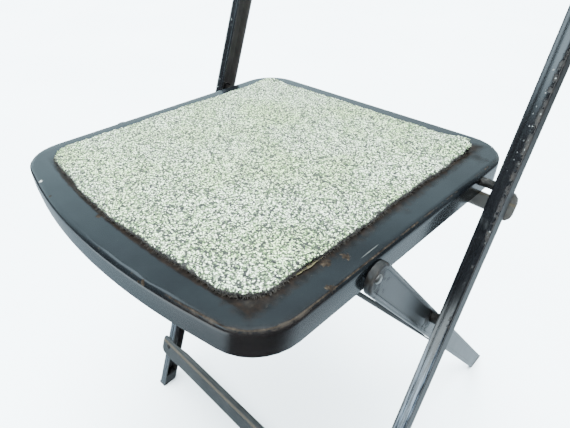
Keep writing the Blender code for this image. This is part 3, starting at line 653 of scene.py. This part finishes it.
def make_leg_finish():
    """Rear legs: semi-gloss enamel gone grey, browned round the pivots and along the rim, with painted shade
    on the turned flanges and along the foot of the recess, and a painted highlight along the recess's ridge.
    """
    finish, r, shader, place = start_finish("leg enamel")
    flat = r.stretch(place, (0.0, 1.0, 1.0))
    smoke = r.noise(place, scale=150.0, detail=6.0, roughness=0.68)
    browned = r.step(r.less(smoke, r.times(r.away(flat, SEAT_PIVOT), 16.0)), 0.22, 0.42)
    rubbed = r.step(r.less(smoke, r.times(r.away(flat, CROSS_PIVOT), 14.0)), 0.24, 0.44)
    edges = worn_edges(r, place, reach=0.0010, grain=140.0, amount=0.26)
    down = r.less(r.along(place, LEG_DOWN), LEG_START + LEG_ROUND_START)
    aside = r.less(r.along(place, LEG_ASIDE), LEG_ASIDE_START)
    from_middle = r.put("CombineXYZ", {"X": r.reckon("MINIMUM", down, 0.0), "Y": aside}).outputs[0]
    inset = r.vector("LENGTH", from_middle)
    # Painted shade along the foot of the recess
    corner = r.step(r.size(r.less(inset, LEG_RECESS_FOOT)), 0.0013, 0.0004)
    recess_shade = r.times(corner, r.span(r.step(smoke, 0.30, 0.55), 0.7, 1.0))
    ridge = r.step(r.size(r.less(inset, LEG_RIDGE)), 0.0009, 0.0003)
    # Flanges that face away from the side are painted in shade
    turned = r.step(r.size(r.facing()["X"]), 0.60, 0.30)
    worn = r.times(r.most(r.times(r.most(browned, rubbed), 0.6), edges), r.span(turned, 1.0, 0.25))
    bared = r.use(rust, {"Place": place, "Grain": 240.0})
    dark = r.most(recess_shade, turned)
    # Painted highlight along the recess's ridge
    painted_highlight = r.times(ridge, r.step(smoke, 0.38, 0.56), 0.5)
    coat = blend_coats(r, painted_highlight, blend_coats(r, dark, LEG_GREY, LEG_SHADE), LEG_HIGHLIGHT)
    lay_enamel(r, shader, place, worn, coat, bared["Color"], bared["Height"], gloss=(0.22, 0.36), ripple=0.05,
               edge_round=None)
    return finish


def make_bar_finish(name, line, coat=BAR_BLACK):
    """Cross bars: enamel with a painted tan highlight along the pressed edge, broken up like rubbed paint."""
    direction, crest, width = line
    finish, r, shader, place = start_finish(name)
    # Painted tan highlight along the pressed edge, broken up like rubbed paint
    near = r.step(r.size(r.less(r.along(place, direction), crest)), width, width * 0.3)
    patchy = r.noise(r.stretch(place, (0.3, 1.0, 1.0)), scale=170.0, detail=5.0, roughness=0.65)
    rubbed = r.times(near, r.step(r.add(patchy, r.times(near, 0.30)), 0.50, 0.72))
    edges = worn_edges(r, place, reach=0.0010, grain=150.0, amount=0.32)
    bared = r.use(rust, {"Place": place, "Grain": 210.0})
    tan = r.mix(r.times(near, 0.75), bared["Color"], BAR_HIGHLIGHT_TAN)
    lay_enamel(r, shader, place, r.most(rubbed, edges), coat, tan, bared["Height"], gloss=(0.28, 0.42))
    return finish


def make_panel_finish():
    """Back panel: gloss enamel, worn on its rolled edges and scuffed where shoulders rub."""
    finish, r, shader, place = start_finish("panel enamel")
    scuffs = r.noise(r.stretch(place, (0.05, 1.0, 1.0)), scale=620.0, detail=3.0, roughness=0.6)
    rubbed = r.times(r.step(scuffs, 0.66, 0.76), 0.35)
    patchy = r.noise(place, scale=100.0, detail=6.0, roughness=0.68)
    ends = r.times(r.step(r.size(r.split(place)["X"]), 0.150, 0.186), r.step(patchy, 0.56, 0.66))
    edges = worn_edges(r, place, reach=0.0016, grain=110.0, amount=0.40)
    bared = r.use(rust, {"Place": place, "Grain": 220.0})
    worn = r.most(rubbed, r.times(ends, 0.6), edges)
    lay_enamel(r, shader, place, worn, PANEL_BLACK, bared["Color"], bared["Height"], gloss=(0.18, 0.32))
    return finish


def make_steel_finish(name, bright, dull, gloss, rusted=0.7):
    """Rivets, pins and axle: dark drawn steel with a bloom of rust."""
    finish, r, shader, place = start_finish(name)
    grain = r.noise(r.stretch(place, (6.0, 1.0, 1.0)), scale=500.0, detail=3.0, roughness=0.6)
    bloom = r.step(r.noise(place, scale=260.0, detail=5.0, roughness=0.7), 0.50, 0.66)
    bared = r.use(rust, {"Place": place, "Grain": 420.0})
    share = r.times(bloom, rusted)
    r.feed(shader.inputs["Base Color"], r.mix(share, r.mix(grain, dull, bright), bared["Color"]))
    r.feed(shader.inputs["Metallic"], r.span(share, 1.0, 0.0))
    r.feed(shader.inputs["Roughness"], r.add(r.span(grain, *gloss), r.times(bloom, 0.3)))
    emboss(r, shader, r.add(grain, r.times(bared["Height"], bloom)), strength=0.35, depth=0.0002)
    return finish


def make_rubber_finish():
    """Glides: hard black rubber, grey with floor dust."""
    finish, r, shader, place = start_finish("glide rubber")
    low = r.step(r.split(place)["Z"], 0.004, 0.0)
    dusty = r.step(r.noise(place, scale=300.0, detail=5.0, roughness=0.65), 0.42, 0.70)
    share = r.times(dusty, r.span(low, 0.25, 0.7))
    r.feed(shader.inputs["Base Color"], r.mix(share, RUBBER_BLACK, FLOOR_DUST))
    r.feed(shader.inputs["Roughness"], r.span(dusty, 0.62, 0.88))
    emboss(r, shader, dusty, strength=0.4, depth=0.0003)
    return finish


def make_textile_finish(name, loops):
    """Mat: speckled looped tweed, dark and gluey where its edge meets the pan, with painted contact shade
    there.
    """
    finish, r, shader, place = start_finish(name, Sheen_Weight=0.06, Sheen_Roughness=0.6)
    y, z = r.split(place)[1:]
    pile = r.use(loop_pile, {"Place": place, "Loops": loops})
    tint = r.step(r.noise(place, scale=17.0, detail=3.0, roughness=0.5), 0.38, 0.66)
    stain = r.step(r.noise(place, scale=9.0, detail=2.0, roughness=0.5), 0.50, 0.72)
    yellowed = r.mix(r.span(tint, 0.35, 0.95), pile["Color"], MAT_YELLOWING, "MULTIPLY")
    aged = r.mix(r.times(stain, 0.5), yellowed, MAT_STAIN, "MULTIPLY")
    plane = r.add(r.times(y, -SEAT_RAKE), SEAT_HEIGHT + SEAT_LINE_Y * SEAT_RAKE)
    ragged = r.waver(place, swing=0.0030, scale=420.0, detail=4.0, roughness=0.6)
    # Cut edge darker low down: old glue with painted contact shade
    foot = r.step(r.add(r.less(z, plane), ragged), *MAT_FOOT)
    r.feed(shader.inputs["Base Color"], r.mix(foot, aged, MAT_GLUED_AND_SHADED))
    r.feed(shader.inputs["Roughness"], r.span(pile["Height"], 0.98, 0.82))
    emboss(r, shader, pile["Height"], strength=0.9, depth=0.0007)
    return finish


def make_backing_finish():
    """Backing cloth of the mat: yellowed jute, stiff with old glue."""
    finish, r, shader, place = start_finish("backing jute")
    warp = r.noise(r.stretch(place, (1.0, 0.12, 1.0)), scale=1500.0, detail=2.0, roughness=0.5)
    weft = r.noise(r.stretch(place, (0.12, 1.0, 1.0)), scale=1500.0, detail=2.0, roughness=0.5)
    weave = r.times(r.add(warp, weft), 0.5)
    spots = r.step(r.noise(place, scale=330.0, detail=4.0, roughness=0.6), 0.52, 0.66)
    cloth = r.ramp(weave, JUTE_TONES)
    r.feed(shader.inputs["Base Color"], r.mix(r.times(spots, 0.75), cloth, JUTE_GLUED))
    r.feed(shader.inputs["Roughness"], r.span(spots, 0.85, 0.5))
    emboss(r, shader, weave, strength=0.7, depth=0.0003)
    return finish


def make_yarn_finish():
    """Dark yarn, matted with glue."""
    finish, r, shader, place = start_finish("dark yarn", Roughness=0.85)
    strands = r.noise(r.stretch(place, (1.0, 1.0, 0.2)), scale=1400.0, detail=3.0, roughness=0.6)
    r.feed(shader.inputs["Base Color"], r.ramp(strands, YARN_TONES))
    emboss(r, shader, strands, strength=0.5, depth=0.0002)
    return finish


def mat_edge_points():
    """Mat's cut edge, counter-clockwise: round corners, a bowed front and a hand-cut waver."""
    middle = (MAT_LEFT + MAT_RIGHT) / 2
    apex = MAT_FRONT - MAT_BOW * 1.5
    corners = [(MAT_LEFT, MAT_FRONT), (middle, apex), (MAT_RIGHT, MAT_FRONT), (MAT_RIGHT, MAT_REAR),
               (MAT_LEFT, MAT_REAR)]
    slope = math.atan(MAT_BOW * 1.5 / (MAT_RIGHT - middle))
    front_round = MAT_BOW * 0.5 / (1 / math.cos(slope) - 1)
    radii = [MAT_CORNER_FRONT, front_round, MAT_CORNER_FRONT, MAT_CORNER_REAR, MAT_CORNER_REAR]
    path = []
    for i, corner in enumerate(corners):
        corner = Vector(corner)
        come = (corner - Vector(corners[i - 1])).normalized()
        leave = (Vector(corners[(i + 1) % len(corners)]) - corner).normalized()
        turn = math.acos(max(-1.0, min(1.0, come.dot(leave))))
        inward = Vector((-come.y, come.x))
        centre = corner - come * radii[i] * math.tan(turn / 2) + inward * radii[i]
        for k in range(MAT_CORNER_STEPS + 1):
            angle = turn * k / MAT_CORNER_STEPS
            path.append(centre + (-inward * math.cos(angle) + come * math.sin(angle)) * radii[i])
    points = []
    for i, start in enumerate(path):
        end = path[(i + 1) % len(path)]
        pieces = max(1, round((end - start).length / MAT_STITCH))
        for k in range(pieces):
            points.append(start.lerp(end, k / pieces))
    chance = random.Random(11)
    wavered = []
    count = len(points)
    for i, point in enumerate(points):
        run = points[(i + 1) % count] - points[i - 1]
        outward = Vector((run.y, -run.x)).normalized()
        turn = 2 * math.pi * i / count
        waver = sum(height * math.sin(waves * turn + start) for height, waves, start in EDGE_WAVES)
        waver += chance.uniform(-EDGE_JAGS, EDGE_JAGS)
        wavered.append((point + outward * waver, outward))
    return wavered


def mat_lift(x, y):
    """Height by which the mat has come away from the pan: curled corners and a peeled stretch."""
    lift = GLUE_LINE
    for corner_x, corner_y, rise, reach in MAT_CURLS:
        share = max(0.0, 1 - math.hypot(x - corner_x, y - corner_y) / reach)
        lift += rise * share * share
    return lift


def mat_thickness(x, y, inside):
    """Thickness of the mat, less towards its cut edge."""
    share = min(1.0, inside / MAT_EDGE_ROUND)
    full = MAT_THICKNESS + MAT_LUMPS * math.sin(31 * x + 2.0) * math.sin(27 * y)
    return full * (MAT_EDGE_SHARE + (1 - MAT_EDGE_SHARE) * math.sqrt(1 - (1 - share) ** 2))


def triangles_inside(edge, extra):
    """Triangles between edge points and loose points; gives places, faces and the edge's own numbers."""
    flat = [point for point, outward in edge]
    ring = list(range(len(flat)))
    places, _, faces, came_from, *_ = delaunay_2d_cdt(flat + extra, [], [ring], 1, 1e-7)
    number = {old: new for new, olds in enumerate(came_from) for old in olds}
    return places, faces, [number[i] for i in ring]


def edge_finder(edge):
    """Tree that finds the nearest point of the mat's edge."""
    tree = KDTree(len(edge))
    for i, (point, outward) in enumerate(edge):
        tree.insert((point.x, point.y, 0.0), i)
    tree.balance()
    return tree


def spread_points(edge, tree, spacing, margin, seed):
    """Jittered points inside the mat's edge, at least a margin away from it."""
    chance = random.Random(seed)
    points = []
    rows = int((MAT_REAR - MAT_FRONT + 2 * SPREAD_AHEAD) / (spacing * ROW_SHARE))
    columns = int((MAT_RIGHT - MAT_LEFT + 2 * SPREAD_ASIDE) / spacing)
    for row in range(rows):
        for column in range(columns):
            aside = column + 0.5 * (row % 2) + chance.uniform(-POINT_STRAY, POINT_STRAY)
            back = row + chance.uniform(-POINT_STRAY, POINT_STRAY)
            x = MAT_LEFT - SPREAD_ASIDE + aside * spacing
            y = MAT_FRONT - SPREAD_AHEAD + back * spacing * ROW_SHARE
            point = Vector((x, y))
            _, index, away = tree.find((point.x, point.y, 0.0))
            rim, outward = edge[index]
            if away > margin and (point - rim).dot(outward) < 0:
                points.append(point)
    return points


def add_object(name, mesh, finish):
    made = bpy.data.objects.new(name, mesh)
    bpy.context.scene.collection.objects.link(made)
    mesh.materials.append(finish)
    return made


def mesh_from(name, shape, smooth=True):
    bmesh.ops.recalc_face_normals(shape, faces=shape.faces)
    mesh = bpy.data.meshes.new(name)
    shape.to_mesh(mesh)
    shape.free()
    if smooth:
        mesh.shade_smooth()
    return mesh


def make_mat(finish):
    """The mat as one closed body: lumpy pile on top, a soft cut edge and a plain underside."""
    edge = mat_edge_points()
    tree = edge_finder(edge)
    pile = spread_points(edge, tree, MAT_STITCH, margin=0.0012, seed=5)
    under = spread_points(edge, tree, UNDERSIDE_SPACING, margin=0.006, seed=6)
    chance = random.Random(3)
    shape = bmesh.new()
    places, faces, rim = triangles_inside(edge, pile)
    top = []
    on_rim = set(rim)
    for i, place in enumerate(places):
        inside = 0.0 if i in on_rim else tree.find((place.x, place.y, 0.0))[2]
        rise = mat_lift(place.x, place.y) + mat_thickness(place.x, place.y, inside)
        rise += chance.uniform(-MAT_PILE, MAT_PILE)
        top.append(shape.verts.new((place.x, place.y, seat_top(place.y) + rise)))
    for face in faces:
        shape.faces.new([top[i] for i in face])
    places, faces, low_rim = triangles_inside(edge, under)
    bottom = [shape.verts.new((p.x, p.y, seat_top(p.y) + mat_lift(p.x, p.y))) for p in places]
    for face in faces:
        shape.faces.new([bottom[i] for i in reversed(face)])
    belly = []
    for point, outward in edge:
        out = point + outward * chance.uniform(*MAT_BELLY_OUT)
        rise = mat_lift(point.x, point.y) + MAT_THICKNESS * MAT_BELLY
        belly.append(shape.verts.new((out.x, out.y, seat_top(point.y) + rise)))
    count = len(edge)
    for i in range(count):
        j = (i + 1) % count
        shape.faces.new((top[rim[i]], belly[i], belly[j], top[rim[j]]))
        shape.faces.new((belly[i], bottom[low_rim[i]], bottom[low_rim[j]], belly[j]))
    return add_object("mat", mesh_from("mat", shape), finish)


def draw_from(ranges, seed):
    """Gives a function that draws a number from a named range, the same ones each run."""
    chance = random.Random(seed)
    return lambda name: chance.uniform(*ranges[name])


def add_fibre(shape, root, direction, length, width, droop):
    """One loose yarn end: a thin three-sided spike that bends down."""
    direction = direction.normalized()
    side = direction.orthogonal().normalized()
    other = direction.cross(side)
    rings = []
    for share in (0.0, 0.5):
        middle = root + direction * length * share - Vector((0.0, 0.0, droop * share * share))
        size = width * (1 - 0.4 * share)
        ring = []
        for k in range(3):
            angle = 2 * math.pi * k / 3
            ring.append(shape.verts.new(middle + (side * math.cos(angle) + other * math.sin(angle)) * size))
        rings.append(ring)
    tip = shape.verts.new(root + direction * length - Vector((0.0, 0.0, droop)))
    shape.faces.new(rings[0][::-1])
    for k in range(3):
        j = (k + 1) % 3
        shape.faces.new((rings[0][k], rings[0][j], rings[1][j], rings[1][k]))
        shape.faces.new((rings[1][k], rings[1][j], tip))


def make_fringe(finish):
    """Frayed yarn ends all round the mat's cut edge, thickest along its front and right."""
    draw = draw_from(PALE_ENDS, seed=29)
    shape = bmesh.new()
    for point, outward in mat_edge_points():
        in_sight = point.y < MAT_FRONT + IN_SIGHT_STRIP or point.x > MAT_RIGHT - IN_SIGHT_STRIP
        for k in range(PALE_ENDS_IN_SIGHT if in_sight else PALE_ENDS_BEHIND):
            shift = Vector((-outward.y, outward.x)) * draw("shift") * MAT_STITCH
            level = draw("level") * MAT_THICKNESS
            start = point + shift - outward * PALE_ROOT_DEPTH
            root = Vector((start.x, start.y, seat_top(start.y) + mat_lift(point.x, point.y) + level))
            lean = Vector((outward.x, outward.y, draw("rise")))
            lean += Vector((draw("stray"), draw("stray"), 0.0))
            length = draw("length")
            add_fibre(shape, root, lean, length, draw("width"), length * draw("droop"))
    return add_object("mat_fringe", mesh_from("mat_fringe", shape, smooth=False), finish)


def make_dark_fringe(finish):
    """Gluey dark yarn ends that lie on the pan along the mat's front and right edges, long enough to lay
    painted shade along them as well.
    """
    draw = draw_from(DARK_ENDS, seed=53)
    shape = bmesh.new()
    for point, outward in mat_edge_points():
        if outward.y > -IN_SIGHT_FACING and outward.x < IN_SIGHT_FACING:
            continue
        for k in range(DARK_ENDS_EACH):
            shift = Vector((-outward.y, outward.x)) * draw("shift") * MAT_STITCH
            level = draw("level") * MAT_THICKNESS
            start = point + shift - outward * DARK_ROOT_DEPTH
            root = Vector((start.x, start.y, seat_top(start.y) + DARK_ROOT_HEIGHT + level))
            lean = Vector((outward.x, outward.y, 0.0))
            lean += Vector((draw("stray"), draw("stray"), draw("rise")))
            length = draw("length")
            droop = min(length * draw("droop"), level)
            add_fibre(shape, root, lean, length, draw("width"), droop)
    return add_object("mat_dark_fringe", mesh_from("mat_dark_fringe", shape, smooth=False), finish)


def make_tuft(finish):
    """Pulled yarn standing up from the mat's front edge."""
    draw = draw_from(TUFT_ENDS, seed=41)
    shape = bmesh.new()
    x, y = TUFT_PLACE
    for k in range(TUFT_COUNT):
        root = Vector((x + draw("aside"), y + draw("ahead"), seat_top(y) + TUFT_ROOT))
        lean = Vector((draw("lean"), draw("bow"), draw("rise")))
        length = draw("length")
        add_fibre(shape, root, lean, length, TUFT_WIDTH, length * draw("droop"))
    return add_object("mat_tuft", mesh_from("mat_tuft", shape), finish)


def make_backing(finish):
    """Peeled tongue of the backing cloth under the mat's right edge."""
    shape = bmesh.new()
    levels = []
    for k in range(BACKING_STEPS + 1):
        share = k / BACKING_STEPS
        y = BACKING_START + (BACKING_END - BACKING_START) * share
        reach = BACKING_REACH * math.sin(math.pi * share) ** 0.7 + BACKING_RAG * math.sin(17 * share)
        row = []
        for part, tuck, rise in BACKING_SECTION:
            row.append(shape.verts.new((MAT_RIGHT + (part * reach + tuck), y, seat_top(y) + rise)))
        levels.append(row)
    count = len(BACKING_SECTION)
    for near, far in zip(levels, levels[1:]):
        for i in range(count):
            j = (i + 1) % count
            shape.faces.new((near[i], near[j], far[j], far[i]))
    shape.faces.new(levels[0])
    shape.faces.new(levels[-1])
    return add_object("mat_backing", mesh_from("mat_backing", shape), finish)


def make_floor():
    """Pale studio floor. In reflections it is unlit and glows with painted light instead, graded from bright
    to dark, with painted shadow under the camera and painted shade to the far left, fixed in the room.
    """
    shape = bmesh.new()
    corners = ((-1, -1), (1, -1), (1, 1), (-1, 1))
    shape.faces.new([shape.verts.new((x * FLOOR_HALF, y * FLOOR_HALF, 0.0)) for x, y in corners])
    finish, r, shader, place = start_finish("studio floor", Roughness=0.9, Specular_IOR_Level=0.1,
                                            Emission_Strength=MIRRORED_FLOOR)
    x, y = r.split(place)[:2]
    pale = r.ramp(r.noise(place, scale=1.5, detail=2.0, roughness=0.5), FLOOR_TONES)
    mirrored = r.put("LightPath").outputs["Is Glossy Ray"]
    front, rear = MIRRORED_DEPTH
    depth = r.put("MapRange", {"Value": y, "From Min": front, "From Max": rear}).outputs["Result"]
    behind = r.ramp(depth, MIRRORED_TONES)
    # Painted shadow under the camera and painted shade to the far left, seen only in reflections
    ahead = r.along(place, CAMERA_SIDE_AHEAD)
    widening = r.add(r.along(place, CAMERA_SIDE_ASIDE), r.times(ahead, 0.55))
    painted_camera_shadow = r.times(r.step(ahead, *UNDER_CAMERA_AHEAD), r.step(widening, *UNDER_CAMERA_ASIDE))
    painted_far_shade = r.step(x, *FAR_LEFT)
    shaded = r.mix(r.most(painted_camera_shadow, painted_far_shade), behind, MIRRORED_SHADE)
    r.feed(shader.inputs["Base Color"], r.mix(mirrored, pale, UNLIT))
    r.feed(shader.inputs["Emission Color"], r.mix(mirrored, UNLIT, shaded))
    floor = add_object("floor", mesh_from("floor", shape), finish)


def make_room():
    """Bright ceiling, dimmer walls with two windows, and a dark room behind the camera."""
    world = bpy.data.worlds.new("studio")
    world.use_nodes = True
    bpy.context.scene.world = world
    r = Recipe(world.node_tree)
    toward = r.put("TexCoord").outputs["Generated"]
    high = r.split(toward)["Z"]
    camera_side = r.step(r.along(toward, GLOOM_TOWARD), *GLOOM_EDGE)
    end_wall = r.step(r.along(toward, END_WALL_TOWARD), *END_WALL_EDGE)
    lower_wall = r.mix(end_wall, WALL_LIGHT, END_WALL_LIGHT)
    far_side = r.mix(r.step(high, *UPPER_WALL_EDGE), lower_wall, UPPER_WALL_LIGHT)
    walls = r.mix(camera_side, far_side, GLOOM_LIGHT)
    window = r.step(r.along(toward, WINDOW_TOWARD), *WINDOW_EDGE)
    side_window = r.step(r.along(toward, SIDE_WINDOW_TOWARD), *SIDE_WINDOW_EDGE)
    glazed = r.mix(r.most(window, side_window), walls, WINDOW_LIGHT)
    path = r.put("LightPath").outputs
    ceiling = r.mix(path["Is Glossy Ray"], CEILING_LIGHT, MIRRORED_CEILING)
    light = r.mix(r.step(high, *CEILING_EDGE), glazed, ceiling)
    seen = r.mix(path["Is Camera Ray"], light, BACKDROP_LIGHT)
    r.feed(world.node_tree.nodes["Background"].inputs["Color"], seen)


def make_camera():
    """Camera of the photo: over the seat's front right corner, looking down across it."""
    lens = bpy.data.cameras.new("camera")
    lens.lens = CAMERA_LENS
    lens.sensor_width = CAMERA_SENSOR
    lens.clip_start = CAMERA_CLIP
    camera = bpy.data.objects.new("camera", lens)
    turn = Matrix.Rotation(math.radians(CAMERA_TURN), 4, "Z")
    turn @= Matrix.Rotation(math.radians(90 - CAMERA_DOWN), 4, "X")
    turn @= Matrix.Rotation(math.radians(CAMERA_ROLL), 4, "Z")
    camera.matrix_world = Matrix.Translation(CAMERA_PLACE) @ turn
    bpy.context.scene.collection.objects.link(camera)
    bpy.context.scene.camera = camera


def smooth_bends_tool():
    """Joins the facets of a pressed sheet and shades its gentle bends smooth, for the shading alone."""
    tree = bpy.data.node_groups.new("smooth bends", "GeometryNodeTree")
    for way in ("INPUT", "OUTPUT"):
        tree.interface.new_socket("Geometry", in_out=way, socket_type="NodeSocketGeometry")
    came = tree.nodes.new("NodeGroupInput")
    goes = tree.nodes.new("NodeGroupOutput")
    joined = tree.nodes.new("GeometryNodeMergeByDistance")
    joined.inputs["Distance"].default_value = FACET_JOIN
    plain = tree.nodes.new("GeometryNodeRemoveAttribute")
    plain.inputs["Name"].default_value = "custom_normal"
    faces = tree.nodes.new("GeometryNodeSetShadeSmooth")
    edges = tree.nodes.new("GeometryNodeSetShadeSmooth")
    edges.domain = "EDGE"
    bend = tree.nodes.new("GeometryNodeInputMeshEdgeAngle")
    gentle = tree.nodes.new("FunctionNodeCompare")
    gentle.operation = "LESS_THAN"
    gentle.inputs["B"].default_value = GENTLE_BEND
    chain = (came, joined, plain, faces, edges, goes)
    for before, after in zip(chain, chain[1:]):
        tree.links.new(before.outputs[0], after.inputs[0])
    tree.links.new(bend.outputs["Unsigned Angle"], gentle.inputs["A"])
    tree.links.new(gentle.outputs["Result"], edges.inputs["Shade Smooth"])
    return tree


def dress(finish, *names):
    """Gives solids of the frame their finish and smooth bends."""
    for name in names:
        solid = nodes[name]
        solid.data.materials.clear()
        solid.data.materials.append(finish)
        solid.modifiers.new("smooth bends", "NODES").node_group = smooth_bends
        even = solid.modifiers.new("even shading", "WEIGHTED_NORMAL")
        even.keep_sharp = True


def pair(*names):
    return [f"{name}_{side}" for name in names for side in ("left", "right")]


make_camera()
make_floor()
make_room()
smooth_bends = smooth_bends_tool()
dress(make_pan_finish(), "seat_pan")
dress(make_rail_finish(), *pair("rail"))
dress(make_leg_finish(), *pair("rear_leg"))
dress(make_bar_finish("stretcher enamel", STRETCHER_LINE), "front_stretcher")
dress(make_bar_finish("crossbar enamel", CROSSBAR_LINE, CROSSBAR_GREY), "rear_crossbar")
dress(make_bar_finish("leg bar enamel", LEG_BAR_LINE), "rear_stretcher")
dress(make_panel_finish(), "back_panel")
bright_steel = make_steel_finish("rivet steel", *RIVET_STEEL, gloss=(0.26, 0.42))
dark_steel = make_steel_finish("pin steel", *PIN_STEEL, gloss=(0.32, 0.50))
pivot_steel = make_steel_finish("pivot steel", *PIVOT_STEEL, gloss=(0.24, 0.38), rusted=0.35)
dress(bright_steel, *pair("stretcher_rivet", "crossbar_rivet", "panel_rivet_low", "panel_rivet_high"))
dress(pivot_steel, *pair("seat_pivot"))
dress(dark_steel, "slide_axle", *pair("cross_pin", "cross_spacer", "seat_pivot_bush", "slide_roller"))
dress(make_rubber_finish(), *pair("front_glide", "rear_glide"))

textile = make_textile_finish("speckled textile", MAT_LOOPS)
mat = make_mat(textile)
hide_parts("seat_mat")
fringe = make_fringe(textile)
backing = make_backing(make_backing_finish())
yarn = make_yarn_finish()
dark_fringe = make_dark_fringe(yarn)
tuft = make_tuft(yarn)
for piece in (mat, fringe, dark_fringe, backing, tuft):
    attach(piece, "seat")
